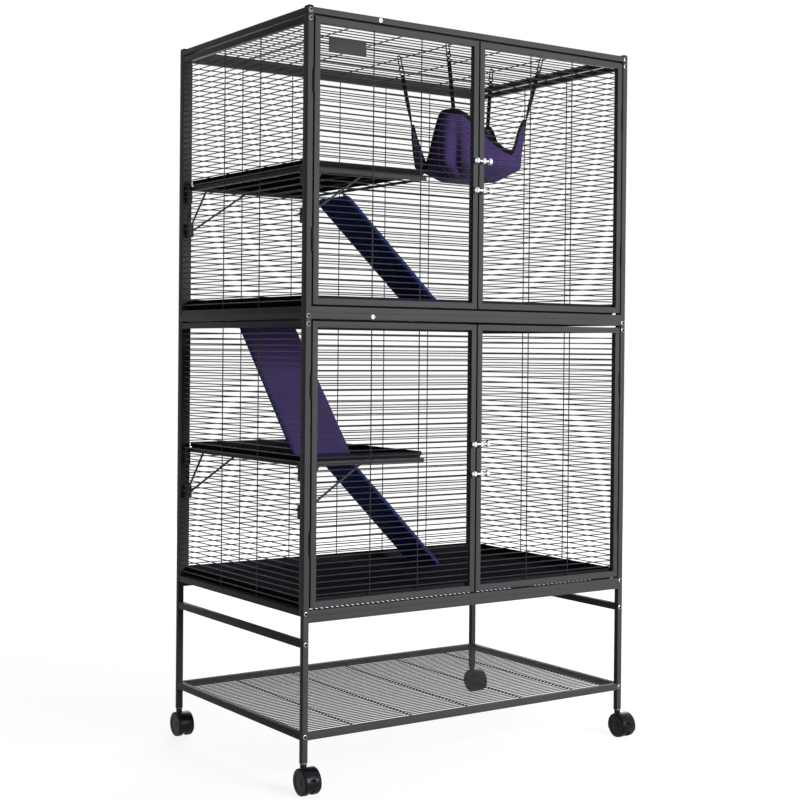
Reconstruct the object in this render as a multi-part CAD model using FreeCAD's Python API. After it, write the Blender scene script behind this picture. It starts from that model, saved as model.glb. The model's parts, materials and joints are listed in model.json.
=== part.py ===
import FreeCAD, Part
import math
import os

Vec = FreeCAD.Vector

# Two-storey wire cage on a rolling stand. Millimetres. X runs along the width, the doors face -Y,
# +Z is up. The cage is drawn about its own middle and moved back at the end, which puts the origin
# on the floor under the middle of the whole outline, casters included.

# Frame
cage_w = 880.0          # over the side panels
cage_d = 580.0          # over the doors and the back panels
stand_h = 361.0         # floor to the top of the stand
unit_h = 622.5          # one storey, floor frame to ring frame
tube = 12.7             # square steel tube
tube_wall = 1.0
post_d = 19.0           # depth of the side panels' posts
side_rail_drop = 4.0    # slit between a side panel's top rail and the ring frame
cap_h = 4.0             # corner cap over the top ring
cap_len = 17.0
fit = 0.3               # clearance between neighbours that don't slide
run_fit = 0.06          # radial clearance of pins, axles and stems

# Wires
wire = 2.4
wire_pitch = 12.7
floor_pitch = 12.7
side_upright_pitch = 162.0
back_upright_pitch = 138.5
door_upright_pitch = 123.0
top_pitch = 24.0
top_bar_pitch = 138.5
floor_bar_pitch = 207.0
storage_bar_pitch = 152.4

# Stand
leg_foot = 62.0         # underside of the legs
stand_rail_z = 297.0    # underside of the side rails
stand_rail_h = 15.0
storage_z = 108.0       # underside of the storage shelf
storage_h = 15.0

# Doors
door_gap = 4.0          # between doors, and between door and post
door_low = 17.0         # door's bottom edge above the floor frame's underside
door_top_gap = 17.5     # door's top edge below the top of its storey
hinge_reach = 162.0     # hinges above and below the door's middle
hinge_half = 25.0
hinge_r = 3.2
hinge_pin_r = 1.5
hinge_front = 3.0       # pin axis in front of the doors' face
leaf_t = 1.2
leaf_d = 10.0
latch_drop = 34.0       # latches below and above the door's middle
latch_rise = 31.0
bolt_r = 2.8
bolt_out = 8.0          # bolt axis in front of the doors' face
eye_r = 7.0
keeper_room = 1.4       # slack round the bolt in the keeper
keeper_w = 10.0
guide_w = 11.0
latch_inset = 3.0       # eye to the edge of its stile
bolt_short = 2.0        # drawn bolt's tip to the keeper
knob_r = 7.5
knob_w = 9.0
bolt_travel = 7.0
plate_w = 92.0
plate_h = 32.0
plate_t = 1.5
plate_in = 22.0         # plate from the stile
plate_down = 25.0       # plate from the top rail

# Pans
pan_h = 23.0
pan_wall = 2.5
pan_side_gap = 2.3
pan_bevel = 5.0
pan_corner = 14.0

# Shelves
shelf_w = 304.0
shelf_d = 524.0
shelf_tops = (328.0, 315.5)   # rim above each storey's floor frame underside
shelf_pan_h = 13.0
shelf_lip_h = 9.0
shelf_lip_w = 6.0
shelf_step = 2.5
shelf_tube = 9.7
shelf_wall_gap = 2.0
rail_r = 3.0            # round rail that a ramp hangs on
rail_drop = 6.2         # rail axis below the top of the frame that carries it
rail_inset = 3.5        # rail axis from the shelf's edge
shelf_rod = 4.0
shelf_bays = 4
brace_rod = 4.0
brace_foot = 116.0      # clip's reach below the shelf's rim
brace_clip_h = 30.0
brace_clip_w = 12.0
brace_short = 36.0
brace_long = 140.0
hook_plate_h = 40.0
hook_tab = 2.0          # tabs that hang the shelf on the side wires

# Ramps
ramp_w = 140.0
ramp_len = 411.0
ramp_pad = 14.0
ramp_rise = 4.7         # frame's middle above the hinge line
ramp_rod = 4.8
ramp_rung_pitch = 48.0
ramp_rail_in = 8.0
ramp_skin = 4.0
cover_start = 20.0
hook_t = 2.3
floor_ramp_y = 146.0    # middle of the two shelf ramps
gate_w = 154.0          # ramp opening in the upper floor
gate_d = 165.0
gate_front = -75.0
gate_bar = 6.0
gate_rail_gap = 7.0

# Hammock
bed_x = 130.0
bed_y = -78.0
bed_w = 240.0
bed_d = 184.0
bed_floor_w = 150.0
bed_floor_d = 116.0
bed_hang = 148.0        # corners of the rim below the top of the cage
bed_h = 153.0
bed_t = 4.0
corner_tab = 14.0       # raised corner that a strap is sewn to
side_dip = 35.0         # lowest rim above the bed, left and right
front_dip = 62.0
dip_bend = 2.3          # exponent of the rim's bow
dip_steps = 8
strap_w = 7.0
strap_t = 1.8
strap_spread = 26.0
strap_spread_y = 6.0
loop_t = 1.0            # strap's loop round a top wire
buckle_w = 13.0
buckle_h = 10.0
buckle_t = 3.4
buckle_at = 0.8

# Casters
wheel_r = 27.0
wheel_w = 14.0
axle_short = 2.5        # axle's end inside the wheel's face
wheel_side = 0.5        # wheel to the hood's middle web
web_w = 9.0
hood_gap = 0.6          # hood over the treads
hood_t = 1.4
hood_short = 2.0        # wheels stand out past the hood's sides
skirt_z = 16.0          # underside of the hood
axle_r = 3.0
boss_r = 7.0
caster_trail = 16.0
stem_r = 4.0
stem_grip = 18.0
plug_flange = 1.5
lever_w = 5.0
lever_t = 2.6
lever_boss_r = 2.6
lever_pin_r = 1.2
lever_in = 5.0          # pin inside the hood's front
lever_out = 4.0
lever_above = 9.0       # pin above the axle
lever_room = 4.0        # room under the lever's tab

half_w = cage_w / 2
half_d = cage_d / 2
in_w = half_w - tube
in_d = half_d - tube
bases = (stand_h, stand_h + unit_h)
storeys = ("lower", "upper")
ring_low = unit_h - tube
total_h = stand_h + 2 * unit_h
door_high = unit_h - door_top_gap
bed_z = total_h - bed_hang - bed_h
hood_r = wheel_r + hood_gap + hood_t


def box(x, y, z):
    return Part.makeBox(x[1] - x[0], y[1] - y[0], z[1] - z[0], Vec(x[0], y[0], z[0]))


def turn(plane, u, v, n):
    return {"xy": Vec(u, v, n), "xz": Vec(u, n, v), "yz": Vec(n, u, v)}[plane]


def prism(plane, points, low, high):
    corners = [turn(plane, u, v, low) for u, v in points]
    face = Part.Face(Part.makePolygon(corners + corners[:1]))
    return face.extrude(turn(plane, 0, 0, high - low))


def rod(start, end, radius):
    way = Vec(*end) - Vec(*start)
    return Part.makeCylinder(radius, way.Length, Vec(*start), way)


def hollow_bar(along, x, y, z):
    """Square tube with open ends."""
    inner = []
    for axis, span in zip("xyz", (x, y, z)):
        inset = 0 if axis == along else tube_wall
        inner.append((span[0] + inset, span[1] - inset))
    return box(x, y, z).cut(box(*inner))


def ring_frame(plane, u, v, n):
    """Four hollow tubes with mitred corners."""
    bars = []
    t, w = tube, tube_wall
    sides = (
        [(u[0], v[0]), (u[1], v[0])], [(u[1], v[0]), (u[1], v[1])],
        [(u[1], v[1]), (u[0], v[1])], [(u[0], v[1]), (u[0], v[0])],
    )
    middle = ((u[0] + u[1]) / 2, (v[0] + v[1]) / 2)

    def inward(point, inset):
        return [c + math.copysign(inset, m - c) for c, m in zip(point, middle)]

    for start, end in sides:
        skin = [start, end, inward(end, t), inward(start, t)]
        core = [inward(start, w), inward(end, w), inward(end, t - w), inward(start, t - w)]
        outer = prism(plane, skin, n[0], n[1])
        bars.append(outer.cut(prism(plane, core, n[0] + w, n[1] - w)))
    return bars


def spaced(low, high, pitch):
    steps = max(2, round((high - low) / pitch))
    return [low + (high - low) * i / steps for i in range(1, steps)]


def middle_row(centre, half_span, pitch):
    reach = int(half_span / pitch)
    return [centre + pitch * i for i in range(-reach, reach + 1) if abs(pitch * i) < half_span - wire]


def grid(plane, u, v, n, pitch, uprights):
    """Close wires along u, and a few uprights along v that touch their inner side."""
    bars = []
    inner = (n, n + math.copysign(wire, -n)) if plane != "xy" else (n - wire, n)
    outer = (n, 2 * n - inner[1]) if plane != "xy" else (n, n + wire)
    for place in spaced(v[0], v[1], pitch):
        skin = [(u[0], place - wire / 2), (u[1], place - wire / 2),
                (u[1], place + wire / 2), (u[0], place + wire / 2)]
        bars.append(prism(plane, skin, min(outer), max(outer)))
    for place in uprights:
        skin = [(place - wire / 2, v[0]), (place + wire / 2, v[0]),
                (place + wire / 2, v[1]), (place - wire / 2, v[1])]
        bars.append(prism(plane, skin, min(inner), max(inner)))
    return bars


def wire_plane(sign, half):
    return sign * (half - tube / 2)


def side_frame(sign, base):
    x = sorted((sign * half_w, sign * in_w))
    top = base + ring_low
    bars = []
    for y in (-1, 1):
        depth = sorted((y * half_d, y * (half_d - post_d)))
        bars.append(hollow_bar("z", x, depth, (base, top)))
    rail_y = (post_d - half_d, half_d - post_d)
    high = top - side_rail_drop
    bars.append(hollow_bar("y", x, rail_y, (base, base + tube)))
    bars.append(hollow_bar("y", x, rail_y, (high - tube, high)))
    return bars + [fixed_hinge(sign, base, z) for z in (-1, 1)]


def side_wires(sign):
    bars = []
    span = (post_d - half_d, half_d - post_d)
    uprights = (-side_upright_pitch / 2, side_upright_pitch / 2)
    for base in bases:
        bars += grid("yz", span, side_wire_span(base), wire_plane(sign, half_w), wire_pitch, uprights)
    return bars


def side_wire_span(base):
    return base + tube, base + ring_low - side_rail_drop - tube


def back_frame(base):
    reach = in_w - fit
    return ring_frame("xz", (-reach, reach), (base + tube + fit, base + ring_low - fit), (in_d, half_d))


def back_wires():
    bars = []
    reach = in_w - fit - tube
    for base in bases:
        span = (base + 2 * tube + fit, base + ring_low - fit - tube)
        uprights = middle_row(0, reach, back_upright_pitch)
        bars += grid("xz", (-reach, reach), span, wire_plane(1, half_d), wire_pitch, uprights)
    return bars


def ring(base):
    """Tube ring that lies on the posts of a storey."""
    return ring_frame("xy", (-half_w, half_w), (-half_d, half_d), (base + ring_low, base + unit_h))


def top_wires():
    bars = middle_row(0, in_w, top_bar_pitch)
    return grid("xy", (-in_w, in_w), (-in_d, in_d), total_h - tube / 2, top_pitch, bars)


def corner_caps():
    caps = []
    for x in (-1, 1):
        for y in (-1, 1):
            spans = sorted((x * half_w, x * in_w)), sorted((y * half_d, y * (half_d - cap_len)))
            cap = box(*spans, (total_h, total_h + cap_h))
            high = [e for e in cap.Edges if e.BoundBox.ZMin > total_h + cap_h - 0.01]
            caps.append(cap.makeChamfer(cap_h / 2, high))
    return caps


def floor_frame(base):
    reach = in_w - fit
    return ring_frame("xy", (-reach, reach), (-half_d, half_d), (base, base + tube))


def gate():
    """Outline of the ramp opening in the upper floor: x and y spans."""
    left = -in_w + fit + tube
    return (left, left + gate_w), (gate_front, gate_front + gate_d)


def floor_wires(base, opening):
    """Close wires from front to back over a few cross bars, left out over the ramp opening."""
    bars = []
    reach = in_w - fit - tube
    high = base + tube
    for x in spaced(-reach, reach, floor_pitch):
        spans = [(-in_d, in_d)]
        if opening and x < opening[0][1] + gate_bar + wire:
            spans = [(-in_d, opening[1][0] - gate_bar), (opening[1][1] + gate_bar, in_d)]
        bars += [box((x - wire / 2, x + wire / 2), span, (high - wire, high)) for span in spans]
    for y in middle_row(0, in_d, floor_bar_pitch):
        left = -reach
        if opening and opening[1][0] - gate_bar - wire < y < opening[1][1] + gate_bar + wire:
            left = opening[0][1] + gate_bar
        bars.append(box((left, reach), (y - wire / 2, y + wire / 2), (high - 2 * wire, high - wire)))
    return bars


def gate_frame(base):
    """Flat bars round the ramp opening, and the round rail that its ramp hangs on."""
    x, y = gate()
    z = (base + tube - 2 * gate_bar, base + tube)
    right = (x[1], x[1] + gate_bar)
    front = box((x[0], right[1]), (y[0] - gate_bar, y[0]), z)
    back = box((x[0], right[1]), (y[1], y[1] + gate_bar), z)
    side = box(right, y, z)
    rail = gate_rail(base)
    return [front, back, side, rod((x[0], *rail), (x[1], *rail), rail_r)]


def gate_rail(base):
    return gate()[1][1] - gate_rail_gap, base + rail_drop - fit


def pan(base, opening):
    """Pressed tray with a bevelled base, and a wall of its own round the ramp opening."""
    x = (-in_w + pan_side_gap, in_w - pan_side_gap)
    y = (-in_d + pan_side_gap / 2, in_d - pan_side_gap / 2)
    z = (base + tube + fit, base + tube + fit + pan_h)
    block = rounded(box(x, y, z), pan_corner)
    low = [e for e in block.Edges if e.BoundBox.ZMax < z[0] + 0.01]
    block = block.makeChamfer(pan_bevel, low)
    pocket_x = (x[0] + pan_wall, x[1] - pan_wall)
    pocket_y = (y[0] + pan_wall, y[1] - pan_wall)
    pocket_z = (z[0] + pan_wall, z[1] + pan_wall)
    pocket = rounded(box(pocket_x, pocket_y, pocket_z), pan_corner - pan_wall)
    low = [e for e in pocket.Edges if e.BoundBox.ZMax < pocket_z[0] + 0.01]
    tray = block.cut(pocket.makeChamfer(pan_bevel, low))
    if not opening:
        return tray
    ox, oy = opening
    lip = box((ox[0] - pan_wall, ox[1] + pan_wall), (oy[0] - pan_wall, oy[1] + pan_wall), z)
    return tray.fuse(lip).cut(box(ox, oy, (z[0] - 1, z[1] + 1))).removeSplitter()


def rounded(shape, radius):
    upright = [e for e in shape.Edges if abs(e.tangentAt(e.FirstParameter).z) > 0.99]
    return shape.makeFillet(radius, upright)


def pan_floor(base):
    return base + tube + fit + pan_wall


def shelf_spans():
    left = -in_w + shelf_wall_gap
    return (left, left + shelf_w), (-shelf_d / 2, shelf_d / 2)


def shelf_pan(rim):
    """Tray with a deep stepped lip."""
    x, y = shelf_spans()
    low = rim - shelf_pan_h
    lip = rounded(box(x, y, (rim - shelf_lip_h, rim)), pan_corner)
    inset = [(s[0] + shelf_step, s[1] - shelf_step) for s in (x, y)]
    body = rounded(box(*inset, (low, rim - shelf_lip_h)), pan_corner - shelf_step)
    pocket = [(s[0] + shelf_lip_w, s[1] - shelf_lip_w) for s in (x, y)]
    hollow = rounded(box(*pocket, (low + pan_wall, rim + 1)), pan_corner - shelf_lip_w)
    return lip.fuse(body).cut(hollow).removeSplitter()


def shelf_top(rim):
    """Top of the tubes under the shelf pan."""
    return rim - shelf_pan_h - fit


def shelf_frame(base, rim):
    x, y = shelf_spans()
    z = (shelf_top(rim) - shelf_tube, shelf_top(rim))
    t = shelf_tube
    inner = (y[0] + t, y[1] - t)
    bars = [hollow_bar("x", x, (y[0], inner[0]), z), hollow_bar("x", x, (inner[1], y[1]), z)]
    bars.append(hollow_bar("y", (x[0], x[0] + t), inner, z))
    rail = shelf_rail(rim)
    bars.append(rod((rail[0], inner[0], rail[1]), (rail[0], inner[1], rail[1]), rail_r))
    for place in spaced(x[0] + t, rail[0], (rail[0] - x[0] - t) / shelf_bays):
        bars.append(box((place - shelf_rod / 2, place + shelf_rod / 2), inner, (z[1] - shelf_rod, z[1])))
    for end in (y[0] + t / 2, y[1] - t / 2):
        bars += brace(base, rim, end)
    return bars


def shelf_rail(rim):
    return shelf_spans()[0][1] - rail_inset, shelf_top(rim) - rail_drop


def wire_below(base, level):
    """Top of the side wire next below a level."""
    levels = spaced(*side_wire_span(base), wire_pitch)
    return max(place for place in levels if place < level) + wire / 2


def tab(base, level, wide):
    """Tab that reaches over a side wire and down behind it."""
    seat = wire_below(base, level)
    inner = -(half_w - tube / 2)
    outer = inner - wire - fit
    outline = [(inner, seat + hook_tab), (outer - hook_tab, seat + hook_tab),
               (outer - hook_tab, seat - wire / 2), (outer, seat - wire / 2),
               (outer, seat), (inner, seat)]
    return prism("xz", outline, *wide)


def brace(base, rim, y):
    """Hook on the side wires, clip below it and two rods from the clip to the shelf's underside."""
    wires = -(half_w - tube / 2)
    left = shelf_spans()[0][0]
    under = shelf_top(rim) - shelf_tube
    wide = (y - brace_clip_w / 2, y + brace_clip_w / 2)
    thin = (y - brace_rod / 2, y + brace_rod / 2)
    hook = box((wires, left), wide, (shelf_top(rim) - hook_plate_h, shelf_top(rim)))
    foot = rim - brace_foot
    clip_x = (wires, left + brace_rod)
    clip_z = (foot - brace_clip_h / 2, foot + brace_clip_h / 2)
    clip = box(clip_x, wide, clip_z)
    short = [(left, clip_z[1]), (left + brace_rod, clip_z[1]),
             (left + brace_short + brace_rod, under), (left + brace_short, under)]
    steep = brace_rod * 1.2
    long = [(clip_x[1], foot - steep / 2), (left + brace_long + steep, under),
            (left + brace_long - steep / 2, under), (clip_x[1], foot + steep / 2)]
    hook = hook.fuse(tab(base, shelf_top(rim) - hook_tab, wide)).removeSplitter()
    clip = clip.fuse(tab(base, clip_z[1] - hook_tab, wide)).removeSplitter()
    return [hook, clip, prism("xz", short, *thin), prism("xz", long, *thin)]


def ramp_slope(drop):
    """Angle at which the sleeve's lower corner stands just off the floor."""
    sole = ramp_pad / 2 - ramp_rise
    return math.degrees(math.asin((drop - fit) / math.hypot(ramp_len, sole)) - math.atan2(sole, ramp_len))


def ramp_frame_flat():
    """Side rods with rolled hooks, and rungs. The hinge line is the Y axis and +X runs down the ramp."""
    reach = ramp_w / 2 - ramp_rail_in
    low = ramp_rise - ramp_rod / 2
    inner_r = rail_r + run_fit
    outer_r = inner_r + hook_t
    pieces = []
    for side in (-reach, reach):
        span = (side - ramp_rod / 2, side + ramp_rod / 2)
        ring_back = Part.makeCylinder(outer_r, ramp_rod, Vec(0, span[0], 0), Vec(0, 1, 0))
        far = 3 * outer_r
        mouth = prism("xz", [(0, 0), (-far / 7, -far), (far, -far), (far, -far / 3)], *span)
        straight = box((inner_r + 0.5, ramp_len - 2 * ramp_skin), span, (low, low + ramp_rod))
        bore = Part.makeCylinder(inner_r, ramp_rod, Vec(0, span[0], 0), Vec(0, 1, 0))
        pieces.append(ring_back.cut(mouth).fuse(straight).cut(bore).removeSplitter())
    for place in spaced(cover_start, ramp_len, ramp_rung_pitch):
        rung = (place - ramp_rod / 2, place + ramp_rod / 2)
        pieces.append(box(rung, (-reach + ramp_rod / 2, reach - ramp_rod / 2), (low, low + ramp_rod)))
    return pieces


def ramp_cover_flat():
    """Padded sleeve, open at the top end."""
    z = (ramp_rise - ramp_pad / 2, ramp_rise + ramp_pad / 2)
    sleeve = box((cover_start, ramp_len), (-ramp_w / 2, ramp_w / 2), z)
    reach = ramp_w / 2 - ramp_rail_in + ramp_rod / 2 + fit
    room = (ramp_rise - ramp_rod / 2 - fit, ramp_rise + ramp_rod / 2 + fit)
    return [sleeve.cut(box((0, ramp_len - ramp_skin), (-reach, reach), room))]


def place_ramp(pieces, hinge, slope, heading):
    placed = []
    for piece in pieces:
        piece = piece.copy()
        piece.rotate(Vec(0, 0, 0), Vec(0, 1, 0), slope)
        piece.rotate(Vec(0, 0, 0), Vec(0, 0, 1), heading)
        piece.translate(Vec(*hinge))
        placed.append(piece)
    return placed


def ramp_places():
    """Name, hinge point, drop to the floor it stands on, and heading of each ramp."""
    rims = [base + top for base, top in zip(bases, shelf_tops)]
    rail = [shelf_rail(rim) for rim in rims]
    gate_x = gate()[0]
    gate_y, gate_z = gate_rail(bases[1])
    gate_middle = (gate_x[0] + gate_x[1]) / 2
    return (
        ("upper", (rail[1][0], floor_ramp_y, rail[1][1]), rail[1][1] - pan_floor(bases[1]), 0),
        ("middle", (gate_middle, gate_y, gate_z), gate_z - (rims[0] - shelf_pan_h + pan_wall), -90),
        ("lower", (rail[0][0], floor_ramp_y, rail[0][1]), rail[0][1] - pan_floor(bases[0]), 0),
    )


def hinge_axis(sign):
    return sign * (in_w - door_gap / 2), -half_d - hinge_front


def fixed_hinge(sign, base, level):
    """Leaf on the post with the lower knuckle and the pin."""
    x, y = hinge_axis(sign)
    middle = door_middle(base) + level * hinge_reach
    z = (middle - hinge_half, middle - fit / 2)
    leaf = box(sorted((sign * in_w, sign * (in_w - leaf_t))), (y, y + leaf_d + hinge_front), z)
    knuckle = rod((x, y, z[0]), (x, y, z[1]), hinge_r)
    pin = rod((x, y, z[0]), (x, y, middle + hinge_half - leaf_t), hinge_pin_r)
    return knuckle.fuse(leaf).fuse(pin).removeSplitter()


def door_hinge(sign, base, level):
    """Leaf on the stile with the upper knuckle."""
    x, y = hinge_axis(sign)
    middle = door_middle(base) + level * hinge_reach
    z = (middle + fit / 2, middle + hinge_half)
    stile = in_w - door_gap
    leaf = box(sorted((sign * stile, sign * (stile + leaf_t))), (y, y + leaf_d + hinge_front), z)
    knuckle = rod((x, y, z[0]), (x, y, z[1]), hinge_r)
    bore = rod((x, y, z[0] - 1), (x, y, z[1] - leaf_t + fit), hinge_pin_r + run_fit)
    return knuckle.fuse(leaf).cut(bore).removeSplitter()


def door_spans(sign, base):
    x = sorted((sign * door_gap / 2, sign * (in_w - door_gap)))
    return x, (base + door_low, base + door_high)


def eye(x, z):
    """Round eye on a foot, welded to a stile, before its hole is cut."""
    y = -half_d - bolt_out
    disc = rod((x[0], y, z), (x[1], y, z), eye_r)
    foot = box(x, (y, -half_d), (z - eye_r / 2, z + eye_r / 2))
    return disc.fuse(foot).removeSplitter()


def keeper_eye(z):
    """Eye with a square hole, wide enough for doors that hang a little uneven."""
    x, y = keeper_span(), -half_d - bolt_out
    room = bolt_r + keeper_room
    hole = box((x[0] - 1, x[1] + 1), (y - room, y + room), (z - room, z + room))
    return eye(x, z).cut(hole)


def guide_eye(z):
    """Eye that the bolt slides in."""
    x, y = guide_span(), -half_d - bolt_out
    hole = rod((x[0] - 1, y, z), (x[1] + 1, y, z), bolt_r + run_fit)
    return eye(x, z).cut(hole)


def door_middle(base):
    return base + (door_low + door_high) / 2


def latch_levels(base):
    return door_middle(base) - latch_drop, door_middle(base) + latch_rise


def keeper_span():
    edge = -door_gap / 2 - latch_inset
    return edge - keeper_w, edge


def guide_span():
    edge = door_gap / 2
    return edge, edge + guide_w


def door_frame(sign, base):
    x, z = door_spans(sign, base)
    pieces = ring_frame("xz", x, z, (-half_d, -in_d))
    pieces += [door_hinge(sign, base, level) for level in (-1, 1)]
    latch_eye = keeper_eye if sign < 0 else guide_eye
    return pieces + [latch_eye(level) for level in latch_levels(base)]


def door_wires(sign, base):
    x, z = door_spans(sign, base)
    u = (x[0] + tube, x[1] - tube)
    v = (z[0] + tube, z[1] - tube)
    uprights = [(x[0] + x[1]) / 2 + side * door_upright_pitch / 2 for side in (-1, 1)]
    return grid("xz", u, v, wire_plane(-1, half_d), wire_pitch, uprights)


def latch_bolt(level):
    """Round bolt with a knob, drawn back to just short of the keeper."""
    y = -half_d - bolt_out
    tip = keeper_span()[1] + bolt_short
    knob = guide_span()[1] + bolt_travel + fit
    shank = rod((tip, y, level), (knob, y, level), bolt_r)
    head = rod((knob, y, level), (knob + knob_w, y, level), knob_r)
    return [shank.fuse(head).removeSplitter()]


def blank_plate(base):
    x, z = door_spans(-1, base)
    left = x[0] + tube + plate_in
    high = z[1] - tube - plate_down
    front = wire_plane(-1, half_d) - wire
    return [box((left, left + plate_w), (front - plate_t, front), (high - plate_h, high))]


def corners():
    return [(x, y) for x in (-1, 1) for y in (-1, 1)]


def legs():
    pieces = []
    for x, y in corners():
        spans = sorted((x * half_w, x * in_w)), sorted((y * half_d, y * in_d))
        pieces.append(hollow_bar("z", *spans, (leg_foot, stand_h)))
    return pieces


def stand_rails():
    """Front and back rails under the cage, and lower rails between the legs of each side."""
    pieces = []
    for side in (-1, 1):
        y = sorted((side * half_d, side * in_d))
        pieces.append(hollow_bar("x", (-in_w, in_w), y, (stand_h - tube, stand_h)))
        x = sorted((side * half_w, side * in_w))
        high = stand_rail_z + stand_rail_h
        pieces.append(hollow_bar("y", x, (-in_d, in_d), (stand_rail_z, high)))
    return pieces


def storage_frame():
    pieces = []
    z = (storage_z, storage_z + storage_h)
    for side in (-1, 1):
        pieces.append(hollow_bar("x", (-in_w, in_w), sorted((side * half_d, side * in_d)), z))
        pieces.append(hollow_bar("y", sorted((side * half_w, side * in_w)), (-in_d, in_d), z))
    return pieces


def storage_wires():
    level = storage_z + storage_h - wire
    bars = middle_row(0, in_w, storage_bar_pitch)
    return grid("xy", (-in_w, in_w), (-in_d, in_d), level, wire_pitch, bars)


def leg_axis(x, y):
    return x * (half_w - tube / 2), y * (half_d - tube / 2)


def leg_plugs():
    """Plastic plug in the foot of each leg, bored for the caster's stem."""
    pieces = []
    for corner in corners():
        x, y = leg_axis(*corner)
        room = tube / 2 - tube_wall - fit / 2
        flange = box((x - tube / 2, x + tube / 2), (y - tube / 2, y + tube / 2),
                     (leg_foot - plug_flange, leg_foot))
        body = box((x - room, x + room), (y - room, y + room), (leg_foot, leg_foot + stem_grip + 2))
        bore = rod((x, y, 0), (x, y, leg_foot + stem_grip + fit), stem_r + run_fit)
        pieces.append(flange.fuse(body).cut(bore).removeSplitter())
    return pieces


def caster_hood(x, y):
    """Hood over both wheels on a middle web, with the stem that turns in the leg."""
    px, py = leg_axis(x, y)
    cy = py - caster_trail
    wheels = web_w / 2 + wheel_side + wheel_w
    half = wheels - hood_short
    room_r = wheel_r + hood_gap
    top_z = leg_foot - plug_flange - fit
    hood = rod((px - half, cy, wheel_r), (px + half, cy, wheel_r), hood_r)
    for side in (-1, 1):
        start = px + side * web_w / 2
        hood = hood.cut(rod((start, cy, wheel_r), (px + side * wheels, cy, wheel_r), room_r))
    hood = hood.cut(box((px - wheels, px + wheels), (cy - 2 * hood_r, cy + 2 * hood_r), (-hood_r, skirt_z)))
    neck = rod((px, py, wheel_r), (px, py, top_z), boss_r)
    neck = neck.cut(rod((px - wheels, cy, wheel_r), (px + wheels, cy, wheel_r), room_r))
    stem = rod((px, py, top_z - 1), (px, py, leg_foot + stem_grip), stem_r)
    hood = hood.fuse([neck, stem])
    hood = hood.cut(rod((px - web_w, cy, wheel_r), (px + web_w, cy, wheel_r), axle_r + run_fit))
    if y < 0:
        hood = hood.cut(lever_slot(px, cy))
    return [hood.removeSplitter()]


def caster_wheels(x, y):
    """Pair of wheels pressed on one axle."""
    px, py = leg_axis(x, y)
    cy = py - caster_trail
    reach = web_w / 2 + wheel_side + wheel_w - axle_short
    axle = rod((px - reach, cy, wheel_r), (px + reach, cy, wheel_r), axle_r)
    pieces = [axle]
    for side in (-1, 1):
        start = px + side * (web_w / 2 + wheel_side)
        wheel = rod((start, cy, wheel_r), (start + side * wheel_w, cy, wheel_r), wheel_r)
        pieces.append(wheel.cut(axle))
    return pieces


def lever_pivot(cy):
    return cy - hood_r + lever_in, wheel_r + lever_above


def lever_slot(px, cy):
    """Slot in the hood's front for the brake lever, with the bore of its pin."""
    y, z = lever_pivot(cy)
    half = lever_w / 2 + fit
    pocket = rod((px - half, y, z), (px + half, y, z), lever_boss_r + fit)
    way = box((px - half, px + half), (cy - 2 * hood_r, y), (z - lever_room, z + lever_boss_r + fit))
    bore = rod((px - web_w, y, z), (px + web_w, y, z), lever_pin_r + run_fit)
    return pocket.fuse([way, bore])


def brake_lever(x):
    """Tab on a pin in the front of a front caster's hood, pressed down to brake."""
    px, py = leg_axis(x, -1)
    y, z = lever_pivot(py - caster_trail)
    wide = (px - lever_w / 2, px + lever_w / 2)
    boss = rod((wide[0], y, z), (wide[1], y, z), lever_boss_r)
    pin = rod((px - web_w / 2, y, z), (px + web_w / 2, y, z), lever_pin_r)
    plate = box(wide, (y - lever_in - lever_out, y), (z + lever_boss_r - lever_t, z + lever_boss_r))
    return [boss.fuse([pin, plate]).removeSplitter()]


def bed_wall(inset, low, high):
    """Solid from the bed's floor to its rim, inset on every side."""
    u, v = bed_floor_w / 2 - inset, bed_floor_d / 2 - inset
    rim_u, rim_v = bed_w / 2 - inset, bed_d / 2 - inset
    wall = Part.makeWedge(-u, low, -v, -rim_v, -rim_u, u, high, v, rim_v, rim_u)
    wall.rotate(Vec(0, 0, 0), Vec(1, 0, 0), 90)
    wall.translate(Vec(bed_x, bed_y, 0))
    return wall


def dip(plane, centre, half, low):
    """Cutter that lowers the rim between two corners of the bed in a smooth bow."""
    outline = [(centre + half, bed_z + 2 * bed_h), (centre - half, bed_z + 2 * bed_h)]
    for step in range(dip_steps + 1):
        share = 2 * step / dip_steps - 1
        outline.append((centre + half * share, bed_z + low + (bed_h - low) * abs(share) ** dip_bend))
    return prism(plane, outline, -cage_w, cage_w)


def hammock():
    """Soft bed with four raised corners: a hollow frustum whose rim dips between them."""
    bed = bed_wall(0, bed_z, bed_z + bed_h)
    bed = bed.cut(bed_wall(bed_t, bed_z + bed_t, bed_z + bed_h + bed_t))
    bed = bed.cut(dip("yz", bed_y, bed_d / 2 - corner_tab, side_dip))
    return [bed.cut(dip("xz", bed_x, bed_w / 2 - corner_tab, front_dip)).removeSplitter()]


def strap_ends():
    """Corner of the bed and point under a top wire, for each strap."""
    ends = []
    wires = spaced(-in_d, in_d, top_pitch)
    for i, j in corners():
        foot = (bed_x + i * (bed_w - corner_tab) / 2, bed_y + j * (bed_d - corner_tab) / 2, bed_z + bed_h)
        beyond = foot[1] + j * strap_spread_y
        head = (foot[0] + i * strap_spread, min(wires, key=lambda y: abs(y - beyond)), total_h - tube / 2 - wire)
        ends.append((Vec(*foot), Vec(*head)))
    return ends


def strap_loop(head):
    """Flat loop from the top of a strap round the wire over it."""
    span = (head.x - strap_w / 2, head.x + strap_w / 2)
    room = wire / 2 + fit
    skin = room + loop_t
    high = head.z + 2 * wire + fit
    outer = box(span, (head.y - skin, head.y + skin), (head.z - loop_t, high + loop_t))
    return outer.cut(box(span, (head.y - room, head.y + room), (head.z, high)))


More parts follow.
